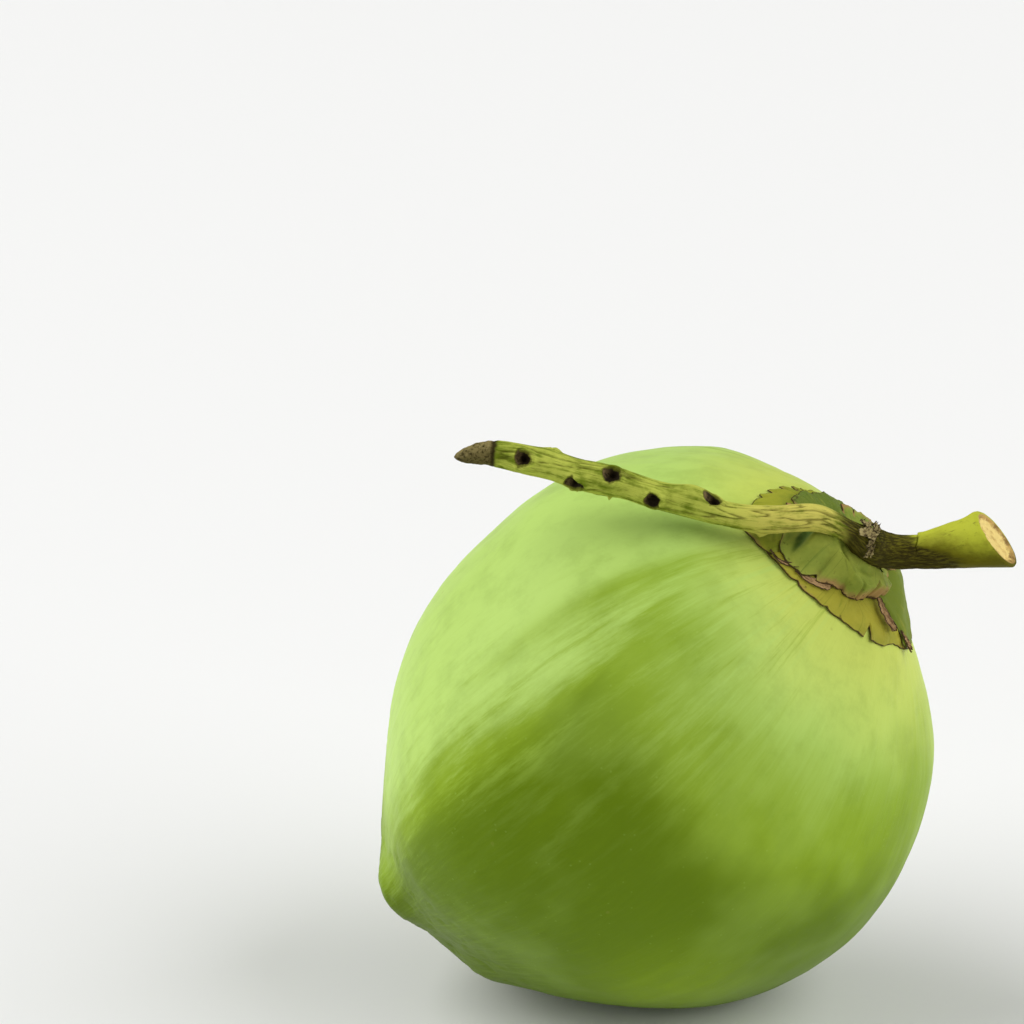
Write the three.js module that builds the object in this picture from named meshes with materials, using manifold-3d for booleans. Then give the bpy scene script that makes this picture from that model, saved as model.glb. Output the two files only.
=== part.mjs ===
// A whole green coconut as picked: the three-sided fruit, the calyx of three petals and three sepals round
// its stalk end, and the piece of stalk that it grew on. It lies tilted on a small flat spot.
// Millimetres, +Z up, front towards -Y. The origin is on the ground, under the middle of the bounding box.
// Fruit frame: z runs along the fruit's own axis, from the tip of the nub to the stalk end, and angles turn
// about that axis from x towards y.
import * as THREE from "three";
import { mergeVertices } from "three/addons/utils/BufferGeometryUtils.js";
import Module from "manifold-3d";

const wasm = await Module();
wasm.setup();

const { degToRad, lerp, smoothstep } = THREE.MathUtils;

// ---- Fruit -----------------------------------------------------------------------------------------------
const FRUIT_LENGTH = 194;
// Height on the axis, radius in the middle of a face, radius on a ridge
const OUTLINE = [
  [0, 0, 0],
  [1.2, 13, 13],
  [6, 24, 33],
  [18, 41, 43],
  [40, 61, 70],
  [68, 77, 88],
  [100, 82, 92.5],
  [132, 78, 86],
  [160, 60, 68],
  [177, 39.5, 42.5],
  [188, 22, 20],
  [FRUIT_LENGTH, 0, 0],
];
const RIDGES = 3;
const RIDGE_TURN = degToRad(-13.2);
const RIDGE_SHARPNESS = 1.9;
const NUB_SHIFT = { x: 2.5, y: -2 };
const STALK_END_SHIFT = { x: -7, y: -11.5 };
const FRUIT_AROUND = 60;
const FRUIT_ALONG = 40;

// ---- Pose on the ground ----------------------------------------------------------------------------------
const AXIS_TURN = degToRad(-15.8);
const AXIS_RISE = degToRad(40.6);
const FRUIT_ROLL = degToRad(-93.3);
const FLAT_DEPTH = 2.5;
const GROUND_SIDE = 4 * FRUIT_LENGTH;

// ---- Calyx -----------------------------------------------------------------------------------------------
const GAP = 0.3;
const LOBE_GAP = 0.6;
const SCALE_GAP = 0.45;
const LOBE_THICKNESS = 1.2;
const LOBE_BASE = 10;
const RIM_REACH = 34.5;
const RIM_LEAN = { amount: 6, turn: degToRad(-60) };
const RIM_OVAL = { amount: 4, turn: degToRad(-50) };
const STALK_SEAT = { x: 15, y: -1 };
const PETALS = { reach: 1, width: degToRad(116), lift: LOBE_GAP, bulge: 0, turns: [35, 155, -85] };
const SEPALS = { reach: 0.72, width: degToRad(92), lift: LOBE_GAP, bulge: 2.2, turns: [15, 135, -105] };
SEPALS.lift += PETALS.lift + LOBE_THICKNESS;
const LOBE_ACROSS = 16;
const LOBE_ALONG = 8;

// ---- Stalk -----------------------------------------------------------------------------------------------
// Centre line in the fruit frame, from the cut end over the calyx to the dry tip, with the radius at each point
const STALK_LINE = [
  [13, 9, 232, 9.2],
  [12.5, 5, 224, 7.8],
  [12.3, 1.5, 216.5, 6.5],
  [12.8, -2.5, 209, 5.4],
  [14, -7.7, 202.3, 5.3],
  [16, -12.5, 198.8, 5.4],
  [19.5, -20.5, 196.8, 4.4],
  [24, -29, 193.3, 4],
  [30.5, -36.5, 185, 4.1],
  [35, -46.5, 175.5, 3.9],
  [38, -62.5, 164, 3.9],
  [41, -76, 154.5, 4.1],
  [44.5, -90, 144, 3.9],
  [47.5, -100.5, 135.7, 3.7],
  [49.3, -104.8, 130.8, 2.7],
  [51.3, -108.2, 125.2, 0.7],
];
const STALK_FRONT = new THREE.Vector3(0.92, 0, 0.39);
const STALK_SIDES = 14;
const STALK_RINGS = 66;
const CUT_SLANT = 0.3;
const CUT_SLANT_LENGTH = 0.08;
// Raised scars of fallen flowers: place along the stalk from 0 to 1, degrees round it from the front
const FLOWER_SCARS = [
  [0.525, 35],
  [0.615, -40],
  [0.7, 25],
  [0.765, -75],
  [0.78, 150],
  [0.865, 0],
];
const SCAR_HEIGHT = 1.3;
const SCAR_SPREAD = { along: 0.014, around: degToRad(38) };
const SEAT_KNOT = { at: 5 / 15, topRadius: 5, footRadius: 5.6, sides: 20 };
// Dry bract remains round the joint: place along the stalk, degrees round it, half width in degrees
const SCALES = [
  { at: 0.315, angle: 20, halfWidth: 38, length: 0.03, thickness: 0.9 },
  { at: 0.3, angle: 112, halfWidth: 34, length: 0.03, thickness: 0.9 },
];

const profile = (column) =>
  new THREE.SplineCurve(OUTLINE.map((row) => new THREE.Vector2(row[0], row[column])));
const faceProfile = profile(1);
const ridgeProfile = profile(2);
// The face profile again from the stalk end, so that a length along it is a reach from that end
const fromStalkEnd = new THREE.SplineCurve(faceProfile.points.slice().reverse());
const PROFILE_LENGTH = fromStalkEnd.getLength();

// A point on the fruit: t runs from the nub to the stalk end along the profile.
function fruitPoint(t, angle) {
  const face = faceProfile.getPoint(t);
  const ridge = ridgeProfile.getPoint(t);
  const share = ((1 + Math.cos(RIDGES * (angle - RIDGE_TURN))) / 2) ** RIDGE_SHARPNESS;
  const radius = lerp(face.y, ridge.y, share);
  const rise = THREE.MathUtils.clamp(face.x / FRUIT_LENGTH, 0, 1);
  const towardsStalk = rise ** 3;
  const towardsNub = (1 - rise) ** 3;
  return new THREE.Vector3(
    radius * Math.cos(angle) + STALK_END_SHIFT.x * towardsStalk + NUB_SHIFT.x * towardsNub,
    radius * Math.sin(angle) + STALK_END_SHIFT.y * towardsStalk + NUB_SHIFT.y * towardsNub,
    face.x,
  );
}

// The same point lifted off the skin along its normal.
function liftedFruitPoint(t, angle, lift) {
  const step = 1e-3;
  const point = fruitPoint(t, angle);
  const along = fruitPoint(Math.min(t + step, 1), angle).sub(fruitPoint(Math.max(t - step, 0), angle));
  const across = fruitPoint(t, angle + step).sub(fruitPoint(t, angle - step));
  return point.addScaledVector(across.cross(along).normalize(), lift);
}

// A point of the calyx: an angle and a reach in polar coordinates about the stalk's seat, which lies off the
// fruit's end and blends into coordinates about that end at the rim.
function calyxPoint(angle, reach, lift) {
  const seat = 1 - smoothstep(reach, LOBE_BASE, RIM_REACH);
  const x = reach * Math.cos(angle) + STALK_SEAT.x * seat;
  const y = reach * Math.sin(angle) + STALK_SEAT.y * seat;
  const t = 1 - fromStalkEnd.getUtoTmapping(0, Math.min(Math.hypot(x, y), PROFILE_LENGTH));
  return liftedFruitPoint(t, Math.atan2(y, x), lift);
}

// How far the calyx reaches at an angle about the fruit's end.
function rimReach(angle) {
  const lean = RIM_LEAN.amount * Math.cos(angle - RIM_LEAN.turn);
  const oval = RIM_OVAL.amount * Math.cos(2 * (angle - RIM_OVAL.turn));
  return RIM_REACH + lean + oval;
}

const stalkCurve = new THREE.CatmullRomCurve3(
  STALK_LINE.map(([x, y, z]) => new THREE.Vector3(x, y, z)),
  false,
  "catmullrom",
);
const stalkRadius = new THREE.SplineCurve(STALK_LINE.map((row, i) => new THREE.Vector2(i, row[3])));

// Height of the flower scars at a place on the stalk.
function scarHeight(t, angle) {
  let height = 0;
  for (const [at, degrees] of FLOWER_SCARS) {
    const along = (t - at) / SCAR_SPREAD.along;
    const turn = Math.atan2(Math.sin(angle - degToRad(degrees)), Math.cos(angle - degToRad(degrees)));
    const around = turn / SCAR_SPREAD.around;
    height += SCAR_HEIGHT * Math.exp(-along * along - around * around);
  }
  return height;
}

// A point of the stalk: t from the cut end to the tip, angle from the front, share 0 on the centre line
// and 1 on the bark.
function stalkPoint(t, angle, share = 1, lift = 0) {
  const centre = stalkCurve.getPoint(t);
  const tangent = stalkCurve.getTangent(t);
  const front = STALK_FRONT.clone().addScaledVector(tangent, -STALK_FRONT.dot(tangent)).normalize();
  const side = tangent.clone().cross(front);
  const radius = (stalkRadius.getPoint(t).y + scarHeight(t, angle) + lift) * share;
  const point = centre.clone();
  point.addScaledVector(side, radius * Math.sin(angle));
  point.addScaledVector(front, radius * Math.cos(angle));
  const slant = CUT_SLANT * (1 - smoothstep(t, 0, CUT_SLANT_LENGTH));
  return point.addScaledVector(tangent, slant * radius * Math.sin(angle));
}

// Moves every vertex of a closed geometry and returns one smooth closed skin.
function shaped(geometry, place) {
  const position = geometry.getAttribute("position");
  const uv = geometry.getAttribute("uv");
  for (let i = 0; i < position.count; i += 1) {
    const from = new THREE.Vector3().fromBufferAttribute(position, i);
    const to = place(from, uv.getX(i), uv.getY(i));
    position.setXYZ(i, to.x, to.y, to.z);
  }
  geometry.deleteAttribute("normal");
  geometry.deleteAttribute("uv");
  const merged = mergeVertices(geometry, 1e-4);
  merged.computeVertexNormals();
  return merged;
}

function toSolid(geometry) {
  const bare = geometry.clone();
  for (const name of Object.keys(bare.attributes)) {
    if (name !== "position") bare.deleteAttribute(name);
  }
  const merged = mergeVertices(bare, 1e-4);
  return new wasm.Manifold(
    new wasm.Mesh({
      numProp: 3,
      vertProperties: new Float32Array(merged.getAttribute("position").array),
      triVerts: new Uint32Array(merged.index.array),
    }),
  );
}

function toGeometry(solid) {
  const mesh = solid.getMesh();
  const geometry = new THREE.BufferGeometry();
  geometry.setAttribute("position", new THREE.BufferAttribute(mesh.vertProperties, mesh.numProp));
  geometry.setIndex(new THREE.BufferAttribute(mesh.triVerts, 1));
  geometry.computeVertexNormals();
  return geometry;
}

// The whole fruit skin, lifted by a clearance.
function fruitGeometry(lift) {
  return shaped(new THREE.SphereGeometry(1, FRUIT_AROUND, FRUIT_ALONG), (_, u, v) => {
    const angle = u * 2 * Math.PI;
    return lift === 0 || v === 0 || v === 1
      ? fruitPoint(v, angle).add(new THREE.Vector3(0, 0, v === 1 ? lift : -lift))
      : liftedFruitPoint(v, angle, lift);
  });
}

// One lobe of the calyx: a thin curved shell from beside the stalk to its rounded margin.
function lobeGeometry(whorl, turn) {
  const slab = new THREE.BoxGeometry(1, 1, 1, LOBE_ACROSS, LOBE_ALONG, 1);
  return shaped(slab, (from) => {
    const across = 2 * from.x;
    const outwards = 0.5 - from.y;
    const angle = degToRad(turn) + (across * whorl.width) / 2;
    const margin = rimReach(angle) * whorl.reach * (1 - 0.16 * across ** 4);
    const reach = lerp(LOBE_BASE, margin, outwards);
    const bulge = whorl.bulge * Math.sin(Math.PI * outwards) * (1 - across ** 2);
    return calyxPoint(angle, reach, whorl.lift + bulge + (from.z + 0.5) * LOBE_THICKNESS);
  });
}

// The stalk with the short knot by which the fruit hangs on it.
function stalkGeometry() {
  const tube = shaped(new THREE.CylinderGeometry(1, 1, 1, STALK_SIDES, STALK_RINGS), (from) =>
    stalkPoint(from.y + 0.5, Math.atan2(from.x, from.z), Math.min(Math.hypot(from.x, from.z), 1)),
  );
  const top = stalkCurve.getPoint(SEAT_KNOT.at);
  const foot = calyxPoint(0, 0, 0);
  const axis = top.clone().sub(foot);
  const reach = axis.length() + SEAT_KNOT.footRadius;
  const knot = new THREE.CylinderGeometry(
    SEAT_KNOT.topRadius,
    SEAT_KNOT.footRadius,
    reach,
    SEAT_KNOT.sides,
  );
  knot.translate(0, reach / 2 - SEAT_KNOT.footRadius, 0);
  knot.applyQuaternion(
    new THREE.Quaternion().setFromUnitVectors(new THREE.Vector3(0, 1, 0), axis.normalize()),
  );
  knot.translate(foot.x, foot.y, foot.z);
  const trimmedKnot = toSolid(knot).subtract(toSolid(fruitGeometry(GAP)));
  return toGeometry(toSolid(tube).add(trimmedKnot));
}

// A dry flake of bract that wraps part of the stalk.
function scaleGeometry(scale) {
  return shaped(new THREE.BoxGeometry(1, 1, 1, 8, 4, 1), (from) => {
    const angle = degToRad(scale.angle + 2 * from.x * scale.halfWidth);
    const ragged = 1 - 0.35 * (2 * from.x) ** 2;
    const t = scale.at + from.y * scale.length * ragged;
    return stalkPoint(t, angle, 1, SCALE_GAP + (from.z + 0.5) * scale.thickness);
  });
}

const finishes = {
  husk: { color: 0x92b53a, roughness: 0.42 },
  petal: { color: 0x7f8a2c, roughness: 0.7 },
  sepal: { color: 0x6f8a45, roughness: 0.65 },
  stalk: { color: 0x7c8326, roughness: 0.75 },
  scale: { color: 0x6d5a34, roughness: 0.9 },
};

function piece(name, geometry, finish) {
  const mesh = new THREE.Mesh(geometry, new THREE.MeshStandardMaterial({ metalness: 0, ...finish }));
  mesh.name = name;
  return mesh;
}

// ---- Assembly --------------------------------------------------------------------------------------------
const fruit = new THREE.Group();
fruit.rotation.z = FRUIT_ROLL;
const leaning = new THREE.Group();
leaning.rotation.y = Math.PI / 2 - AXIS_RISE;
leaning.add(fruit);
const turned = new THREE.Group();
turned.rotation.z = AXIS_TURN;
turned.add(leaning);
turned.updateMatrixWorld(true);

// The flat spot: a level cut through the lowest part of the skin.
function restingHusk() {
  const skin = fruitGeometry(0);
  const lowest = new THREE.Box3().setFromBufferAttribute(
    skin.getAttribute("position").clone().applyMatrix4(fruit.matrixWorld),
  ).min.z;
  const ground = new THREE.BoxGeometry(GROUND_SIDE, GROUND_SIDE, GROUND_SIDE);
  ground.translate(0, 0, lowest + FLAT_DEPTH - GROUND_SIDE / 2);
  ground.applyMatrix4(fruit.matrixWorld.clone().invert());
  return toGeometry(toSolid(skin).subtract(toSolid(ground)));
}

fruit.add(piece("husk", restingHusk(), finishes.husk));
PETALS.turns.forEach((turn, i) => {
  fruit.add(piece(`petal_${i + 1}`, lobeGeometry(PETALS, turn), finishes.petal));
});
SEPALS.turns.forEach((turn, i) => {
  fruit.add(piece(`sepal_${i + 1}`, lobeGeometry(SEPALS, turn), finishes.sepal));
});
fruit.add(piece("stalk", stalkGeometry(), finishes.stalk));
SCALES.forEach((scale, i) => {
  fruit.add(piece(`scale_${i + 1}`, scaleGeometry(scale), finishes.scale));
});

const coconut = new THREE.Group();
coconut.add(turned);
const extent = new THREE.Box3().setFromObject(coconut, true);
const middle = extent.getCenter(new THREE.Vector3());
turned.position.set(-middle.x, -middle.y, -extent.min.z);

export default coconut;
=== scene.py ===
"""The looks of a whole green coconut: skin, calyx and stalk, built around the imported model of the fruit."""

import logging
import math
from dataclasses import dataclass, field
from enum import Enum

import bpy
import numpy as np
from mathutils import Matrix, Vector, noise


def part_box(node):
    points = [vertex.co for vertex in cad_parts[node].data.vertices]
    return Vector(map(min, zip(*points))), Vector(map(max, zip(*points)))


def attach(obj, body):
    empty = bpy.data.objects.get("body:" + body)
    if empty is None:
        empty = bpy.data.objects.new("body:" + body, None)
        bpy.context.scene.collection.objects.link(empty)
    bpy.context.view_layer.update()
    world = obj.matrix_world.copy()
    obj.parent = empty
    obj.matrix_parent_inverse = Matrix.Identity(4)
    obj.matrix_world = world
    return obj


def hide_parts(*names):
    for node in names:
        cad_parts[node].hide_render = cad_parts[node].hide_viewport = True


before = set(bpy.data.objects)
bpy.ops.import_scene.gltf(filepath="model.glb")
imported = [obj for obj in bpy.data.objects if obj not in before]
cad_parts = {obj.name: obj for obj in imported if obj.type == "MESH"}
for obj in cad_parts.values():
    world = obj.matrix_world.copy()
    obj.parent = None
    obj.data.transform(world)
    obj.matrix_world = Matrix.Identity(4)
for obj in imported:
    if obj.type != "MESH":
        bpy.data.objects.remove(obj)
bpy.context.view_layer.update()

log = logging.getLogger("coconut")
MM = 0.001
BODY = "root"
MIX_FIRST = 6  # sockets of the Mix node when it mixes colours
MIX_SECOND = 7
MIX_RESULT = 2
Colour = tuple[float, float, float]


class Ends(Enum):
    """How a smooth curve runs through its first and last point."""

    HELD = "held"
    CARRIED = "carried"


# ---- Geometry helpers ------------------------------------------------------------------------------------
def smooth_curve(points: np.ndarray, t: np.ndarray, ends: Ends = Ends.HELD) -> np.ndarray:
    """Runs a uniform Catmull-Rom curve through points.

    Args:
        points: one point per row.
        t: places along the curve, from 0 to 1.
        ends: whether the end points repeat or carry on in a straight line.

    Returns:
        The curve's points, one per value of t.
    """
    points = np.asarray(points, float)
    last = len(points) - 1
    first_extra = points[0] if ends is Ends.HELD else 2 * points[0] - points[1]
    last_extra = points[-1] if ends is Ends.HELD else 2 * points[-1] - points[-2]
    padded = np.vstack([first_extra, points, last_extra])
    place = np.clip(np.asarray(t, float), 0, 1) * last
    span = np.clip(np.floor(place).astype(int), 0, last - 1)
    f = (place - span)[..., None]
    p0, p1, p2, p3 = (padded[span + k] for k in range(4))
    v1, v2 = (p2 - p0) / 2, (p3 - p1) / 2
    return (2 * p1 - 2 * p2 + v1 + v2) * f**3 + (3 * p2 - 3 * p1 - 2 * v1 - v2) * f**2 + v1 * f + p1


def ease(x: np.ndarray, low: float, high: float) -> np.ndarray:
    """Rises smoothly from 0 at low to 1 at high."""
    s = np.clip((np.asarray(x, float) - low) / (high - low), 0, 1)
    return s * s * (3 - 2 * s)


def bell(x: np.ndarray, middle: float, spread: float) -> np.ndarray:
    """A bump of height 1 at middle."""
    return np.exp(-(((np.asarray(x, float) - middle) / spread) ** 2))


def turn_between(angle: np.ndarray, other: float) -> np.ndarray:
    """The signed turn from other to angle, from minus to plus half a turn."""
    return (np.asarray(angle) - other + math.pi) % (2 * math.pi) - math.pi


def rough(points: np.ndarray, scale: float, octaves: int = 4) -> np.ndarray:
    """Fractal noise at points.

    Args:
        points: an array whose last axis holds three coordinates.
        scale: how many noise cells one unit of the coordinates spans.
        octaves: how many layers are added.

    Returns:
        Values of about -1 to 1, in the shape of points without its last axis.
    """
    flat = (points.reshape(-1, 3) * scale).tolist()
    values = [noise.fractal(p, 1.0, 2.0, octaves) for p in flat]
    return np.array(values).reshape(points.shape[:-1])


def unit(vectors: np.ndarray) -> np.ndarray:
    """Vectors of length 1."""
    return vectors / np.maximum(np.linalg.norm(vectors, axis=-1, keepdims=True), 1e-9)


def spokes(angle: np.ndarray, along: np.ndarray) -> np.ndarray:
    """Points on a round bar of radius 1, where noise meets itself after a whole turn."""
    return np.stack([np.cos(angle), np.sin(angle), along], -1)


def tube_grid(along: np.ndarray, sides: int) -> tuple[np.ndarray, ...]:
    """Places and turns of the points of a round piece.

    Args:
        along: the places of its rings.
        sides: how many points a ring has.

    Returns:
        The places and the turns, with one row for each ring.
    """
    turns = np.linspace(0, 2 * math.pi, sides, endpoint=False)
    return tuple(np.broadcast_arrays(along[:, None], turns[None, :]))


@dataclass(frozen=True)
class Waves:
    """Irregular waves of a surface: how high they are, in millimetres, how close together and how fine."""

    height: float
    scale: float
    octaves: int = 4

    def at(self, points: np.ndarray) -> np.ndarray:
        """The waves' height at points."""
        return self.height * rough(points, self.scale, self.octaves)


@dataclass
class MeshData:
    """Corners, faces and values of a mesh while it is put together, in millimetres of the fruit's frame."""

    points: list = field(default_factory=list)
    faces: list = field(default_factory=list)
    values: dict = field(default_factory=dict)

    def add(self, points: np.ndarray, values: dict[str, np.ndarray]) -> np.ndarray:
        """Adds a block of points.

        Args:
            points: an array whose last axis holds three coordinates.
            values: named numbers or colours, one for each point.

        Returns:
            The indices of the added points, in the shape of the block.
        """
        start = sum(len(block) for block in self.points)
        block = points.reshape(-1, 3)
        self.points.append(block)
        for name, value in values.items():
            width = 1 if value.shape == points.shape[:-1] else value.shape[-1]
            self.values.setdefault(name, []).append(value.reshape(-1, width))
        return np.arange(start, start + len(block)).reshape(points.shape[:-1])

    def patch(self, index: np.ndarray, wrap: bool = False, flip: bool = False) -> None:
        """Joins a block of points into four-sided faces.

        Args:
            index: the points, row by row.
            wrap: whether the last column joins the first.
            flip: whether the faces look the other way.
        """
        right = np.roll(index, -1, axis=1) if wrap else index[:, 1:]
        left = index if wrap else index[:, :-1]
        quads = np.stack([left[:-1], right[:-1], right[1:], left[1:]], -1).reshape(-1, 4)
        self.faces.extend((quads[:, ::-1] if flip else quads).tolist())

    def middle(self, ring: np.ndarray) -> np.ndarray:
        """The middle of a ring of points."""
        return np.vstack(self.points)[ring].mean(0)

    def cap(
        self, ring: np.ndarray, tip: np.ndarray, values: dict[str, np.ndarray], flip: bool = False
    ) -> None:
        """Closes a ring of points with triangles to one tip.

        Args:
            ring: the ring's points.
            tip: where the tip is.
            values: the tip's own values, named as the ring's.
            flip: whether the faces look the other way.
        """
        end = int(self.add(tip.reshape(1, 3), values)[0])
        for a, b in zip(ring, np.roll(ring, -1)):
            self.faces.append([b, a, end] if flip else [a, b, end])

    def build(self, name: str, pose: "Pose") -> bpy.types.Object:
        """Makes the Blender object.

        Args:
            name: the piece's name.
            pose: what carries the fruit's frame into the row's frame.

        Returns:
            The new object, smooth shaded, with its values as attributes.
        """
        mesh = bpy.data.meshes.new(name)
        mesh.from_pydata(pose.place(np.vstack(self.points)).tolist(), [], self.faces)
        mesh.polygons.foreach_set("use_smooth", [True] * len(mesh.polygons))
        for key, blocks in self.values.items():
            data = np.vstack(blocks).astype(np.float32)
            wide = data.shape[1] == 3
            attribute = mesh.attributes.new(key, "FLOAT_VECTOR" if wide else "FLOAT", "POINT")
            attribute.data.foreach_set("vector" if wide else "value", data.ravel())
        mesh.validate()
        piece = bpy.data.objects.new(name, mesh)
        bpy.context.scene.collection.objects.link(piece)
        return piece


def shell(
    name: str,
    top: np.ndarray,
    under: np.ndarray,
    values: dict[str, np.ndarray],
    pose: "Pose",
    flip: bool = False,
) -> bpy.types.Object:
    """Makes a closed thin piece out of its two sides.

    Args:
        name: the piece's name.
        top: a block of points of the outer side.
        under: the block of the inner side.
        values: named numbers for both sides.
        pose: what carries the fruit's frame into the row's frame.
        flip: whether the block's winding is the other way round.

    Returns:
        The new object.
    """
    data = MeshData()
    outer = data.add(top, values)
    inner = data.add(under, values)
    data.patch(outer, flip=not flip)
    data.patch(inner, flip=flip)
    loops = [np.concatenate([k[0, :-1], k[:-1, -1], k[-1, :0:-1], k[:0:-1, 0]]) for k in (outer, inner)]
    data.patch(np.stack(loops), wrap=True, flip=not flip)
    return data.build(name, pose)


# ---- Shader maths ----------------------------------------------------------------------------------------
class Value:
    """A number inside a material's nodes that takes part in Python expressions."""

    def __init__(self, shader: "Shader", socket: bpy.types.NodeSocket) -> None:
        """Wraps a socket of a shader."""
        self.shader = shader
        self.socket = socket

    def _math(self, operation: str, first: object, second: object = 0.0) -> "Value":
        """Adds one Math node and returns its result."""
        return self.shader.add("ShaderNodeMath", {"operation": operation}, {0: first, 1: second})

    def __add__(self, other: object) -> "Value":
        """Adds a number or a value."""
        return self._math("ADD", self, other)

    __radd__ = __add__

    def __sub__(self, other: object) -> "Value":
        """Takes a number or a value away."""
        return self._math("SUBTRACT", self, other)

    def __rsub__(self, other: object) -> "Value":
        """Takes this value away from a number."""
        return self._math("SUBTRACT", other, self)

    def __mul__(self, other: object) -> "Value":
        """Multiplies by a number or a value."""
        return self._math("MULTIPLY", self, other)

    __rmul__ = __mul__

    def most(self, other: object) -> "Value":
        """The larger of the two."""
        return self._math("MAXIMUM", self, other)

    def ramp(self, low: float, high: float) -> "Value":
        """Rises smoothly from 0 at low to 1 at high."""
        settings = {"interpolation_type": "SMOOTHSTEP"}
        return self.shader.add("ShaderNodeMapRange", settings, {0: self, 1: low, 2: high, 3: 0.0, 4: 1.0})


@dataclass(frozen=True)
class Specks:
    """Scattered specks: their cells in one unit, their radius in a cell and the share of empty cells."""

    scale: float
    size: float
    empty: float


@dataclass(frozen=True)
class Cloud:
    """A noise of a finish: its cells in one unit, its layers and how strong the fine layers are."""

    scale: float
    detail: float
    roughness: float = 0.55


class Shader:
    """A material whose nodes are written as expressions."""

    def __init__(self, name: str, roughness: float, gloss: float = 0.3) -> None:
        """Starts a material with one Principled surface.

        Args:
            name: the material's name.
            roughness: the roughness where nothing else drives it.
            gloss: how strongly the surface mirrors, from 0 to 1.
        """
        self.material = bpy.data.materials.new(name)
        self.material.use_nodes = True
        self.tree = self.material.node_tree
        self.surface = self.tree.nodes["Principled BSDF"]
        self.surface.inputs["Roughness"].default_value = roughness
        self.surface.inputs["Specular IOR Level"].default_value = gloss

    def _set(self, node: bpy.types.Node, key: object, value: object) -> None:
        """Gives one input of a node a value or a link.

        Args:
            node: the node.
            key: the input's name or number.
            value: a number, a colour, a vector, a Value or a socket.
        """
        target = node.inputs[key]
        if isinstance(value, Value):
            self.tree.links.new(value.socket, target)
        elif isinstance(value, bpy.types.NodeSocket):
            self.tree.links.new(value, target)
        elif isinstance(value, tuple) and target.type == "RGBA":
            target.default_value = (*value, 1.0)
        else:
            target.default_value = value

    def add(
        self, kind: str, settings: dict | None = None, inputs: dict | None = None, out: object = 0
    ) -> Value:
        """Adds any node.

        Args:
            kind: the node's type.
            settings: its own settings, which are set first.
            inputs: values or links of its sockets.
            out: which output to hand back.

        Returns:
            The chosen output.
        """
        node = self.tree.nodes.new(kind)
        for key, value in (settings or {}).items():
            setattr(node, key, value)
        for key, value in (inputs or {}).items():
            self._set(node, key, value)
        return Value(self, node.outputs[out])

    def own(self, name: str, vector: bool = False) -> Value:
        """A number or a vector stored on the mesh."""
        return self.add("ShaderNodeAttribute", {"attribute_name": name}, out="Vector" if vector else "Fac")

    def place(self) -> Value:
        """The point on the object, in metres."""
        return self.add("ShaderNodeTexCoord", out="Object")

    def stretched(self, vector: Value, factors: Colour) -> Value:
        """A vector scaled on each axis."""
        return self.add("ShaderNodeVectorMath", {"operation": "MULTIPLY"}, {0: vector, 1: factors})

    def cloud(self, vector: Value, look: Cloud) -> Value:
        """Soft noise of 0 to 1, mostly near a half."""
        inputs = {"Vector": vector, "Scale": look.scale, "Detail": look.detail, "Roughness": look.roughness}
        return self.add("ShaderNodeTexNoise", None, inputs)

    def specks(self, vector: Value, look: Specks) -> Value:
        """Round specks.

        Args:
            vector: the coordinates.
            look: how the specks are spread.

        Returns:
            1 inside a speck and 0 elsewhere.
        """
        distance = self.add("ShaderNodeTexVoronoi", None, {"Vector": vector, "Scale": look.scale})
        cell = distance.socket.node.outputs["Color"]
        picked = self.add("ShaderNodeSeparateXYZ", None, {0: cell}).ramp(look.empty, look.empty + 0.05)
        return (1 - distance.ramp(look.size * 0.5, look.size)) * picked

    def mix(self, factor: object, first: object, second: object) -> Value:
        """Mixes two colours.

        Args:
            factor: how much of the second colour there is, from 0 to 1.
            first: the first colour.
            second: the second colour.

        Returns:
            The mixed colour.
        """
        settings = {"data_type": "RGBA"}
        inputs = {0: factor, MIX_FIRST: first, MIX_SECOND: second}
        return self.add("ShaderNodeMix", settings, inputs, out=MIX_RESULT)

    def colour(self, value: Value) -> None:
        """Drives the base colour."""
        self._set(self.surface, "Base Color", value)

    def roughness(self, value: Value) -> None:
        """Drives the roughness."""
        self._set(self.surface, "Roughness", value)

    def bump(self, height: Value, depth_mm: float, strength: float) -> None:
        """Drives the normal by a height of 0 to 1 that stands for a depth."""
        inputs = {"Strength": strength, "Distance": depth_mm * MM, "Height": height}
        self._set(self.surface, "Normal", self.add("ShaderNodeBump", None, inputs))


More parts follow.
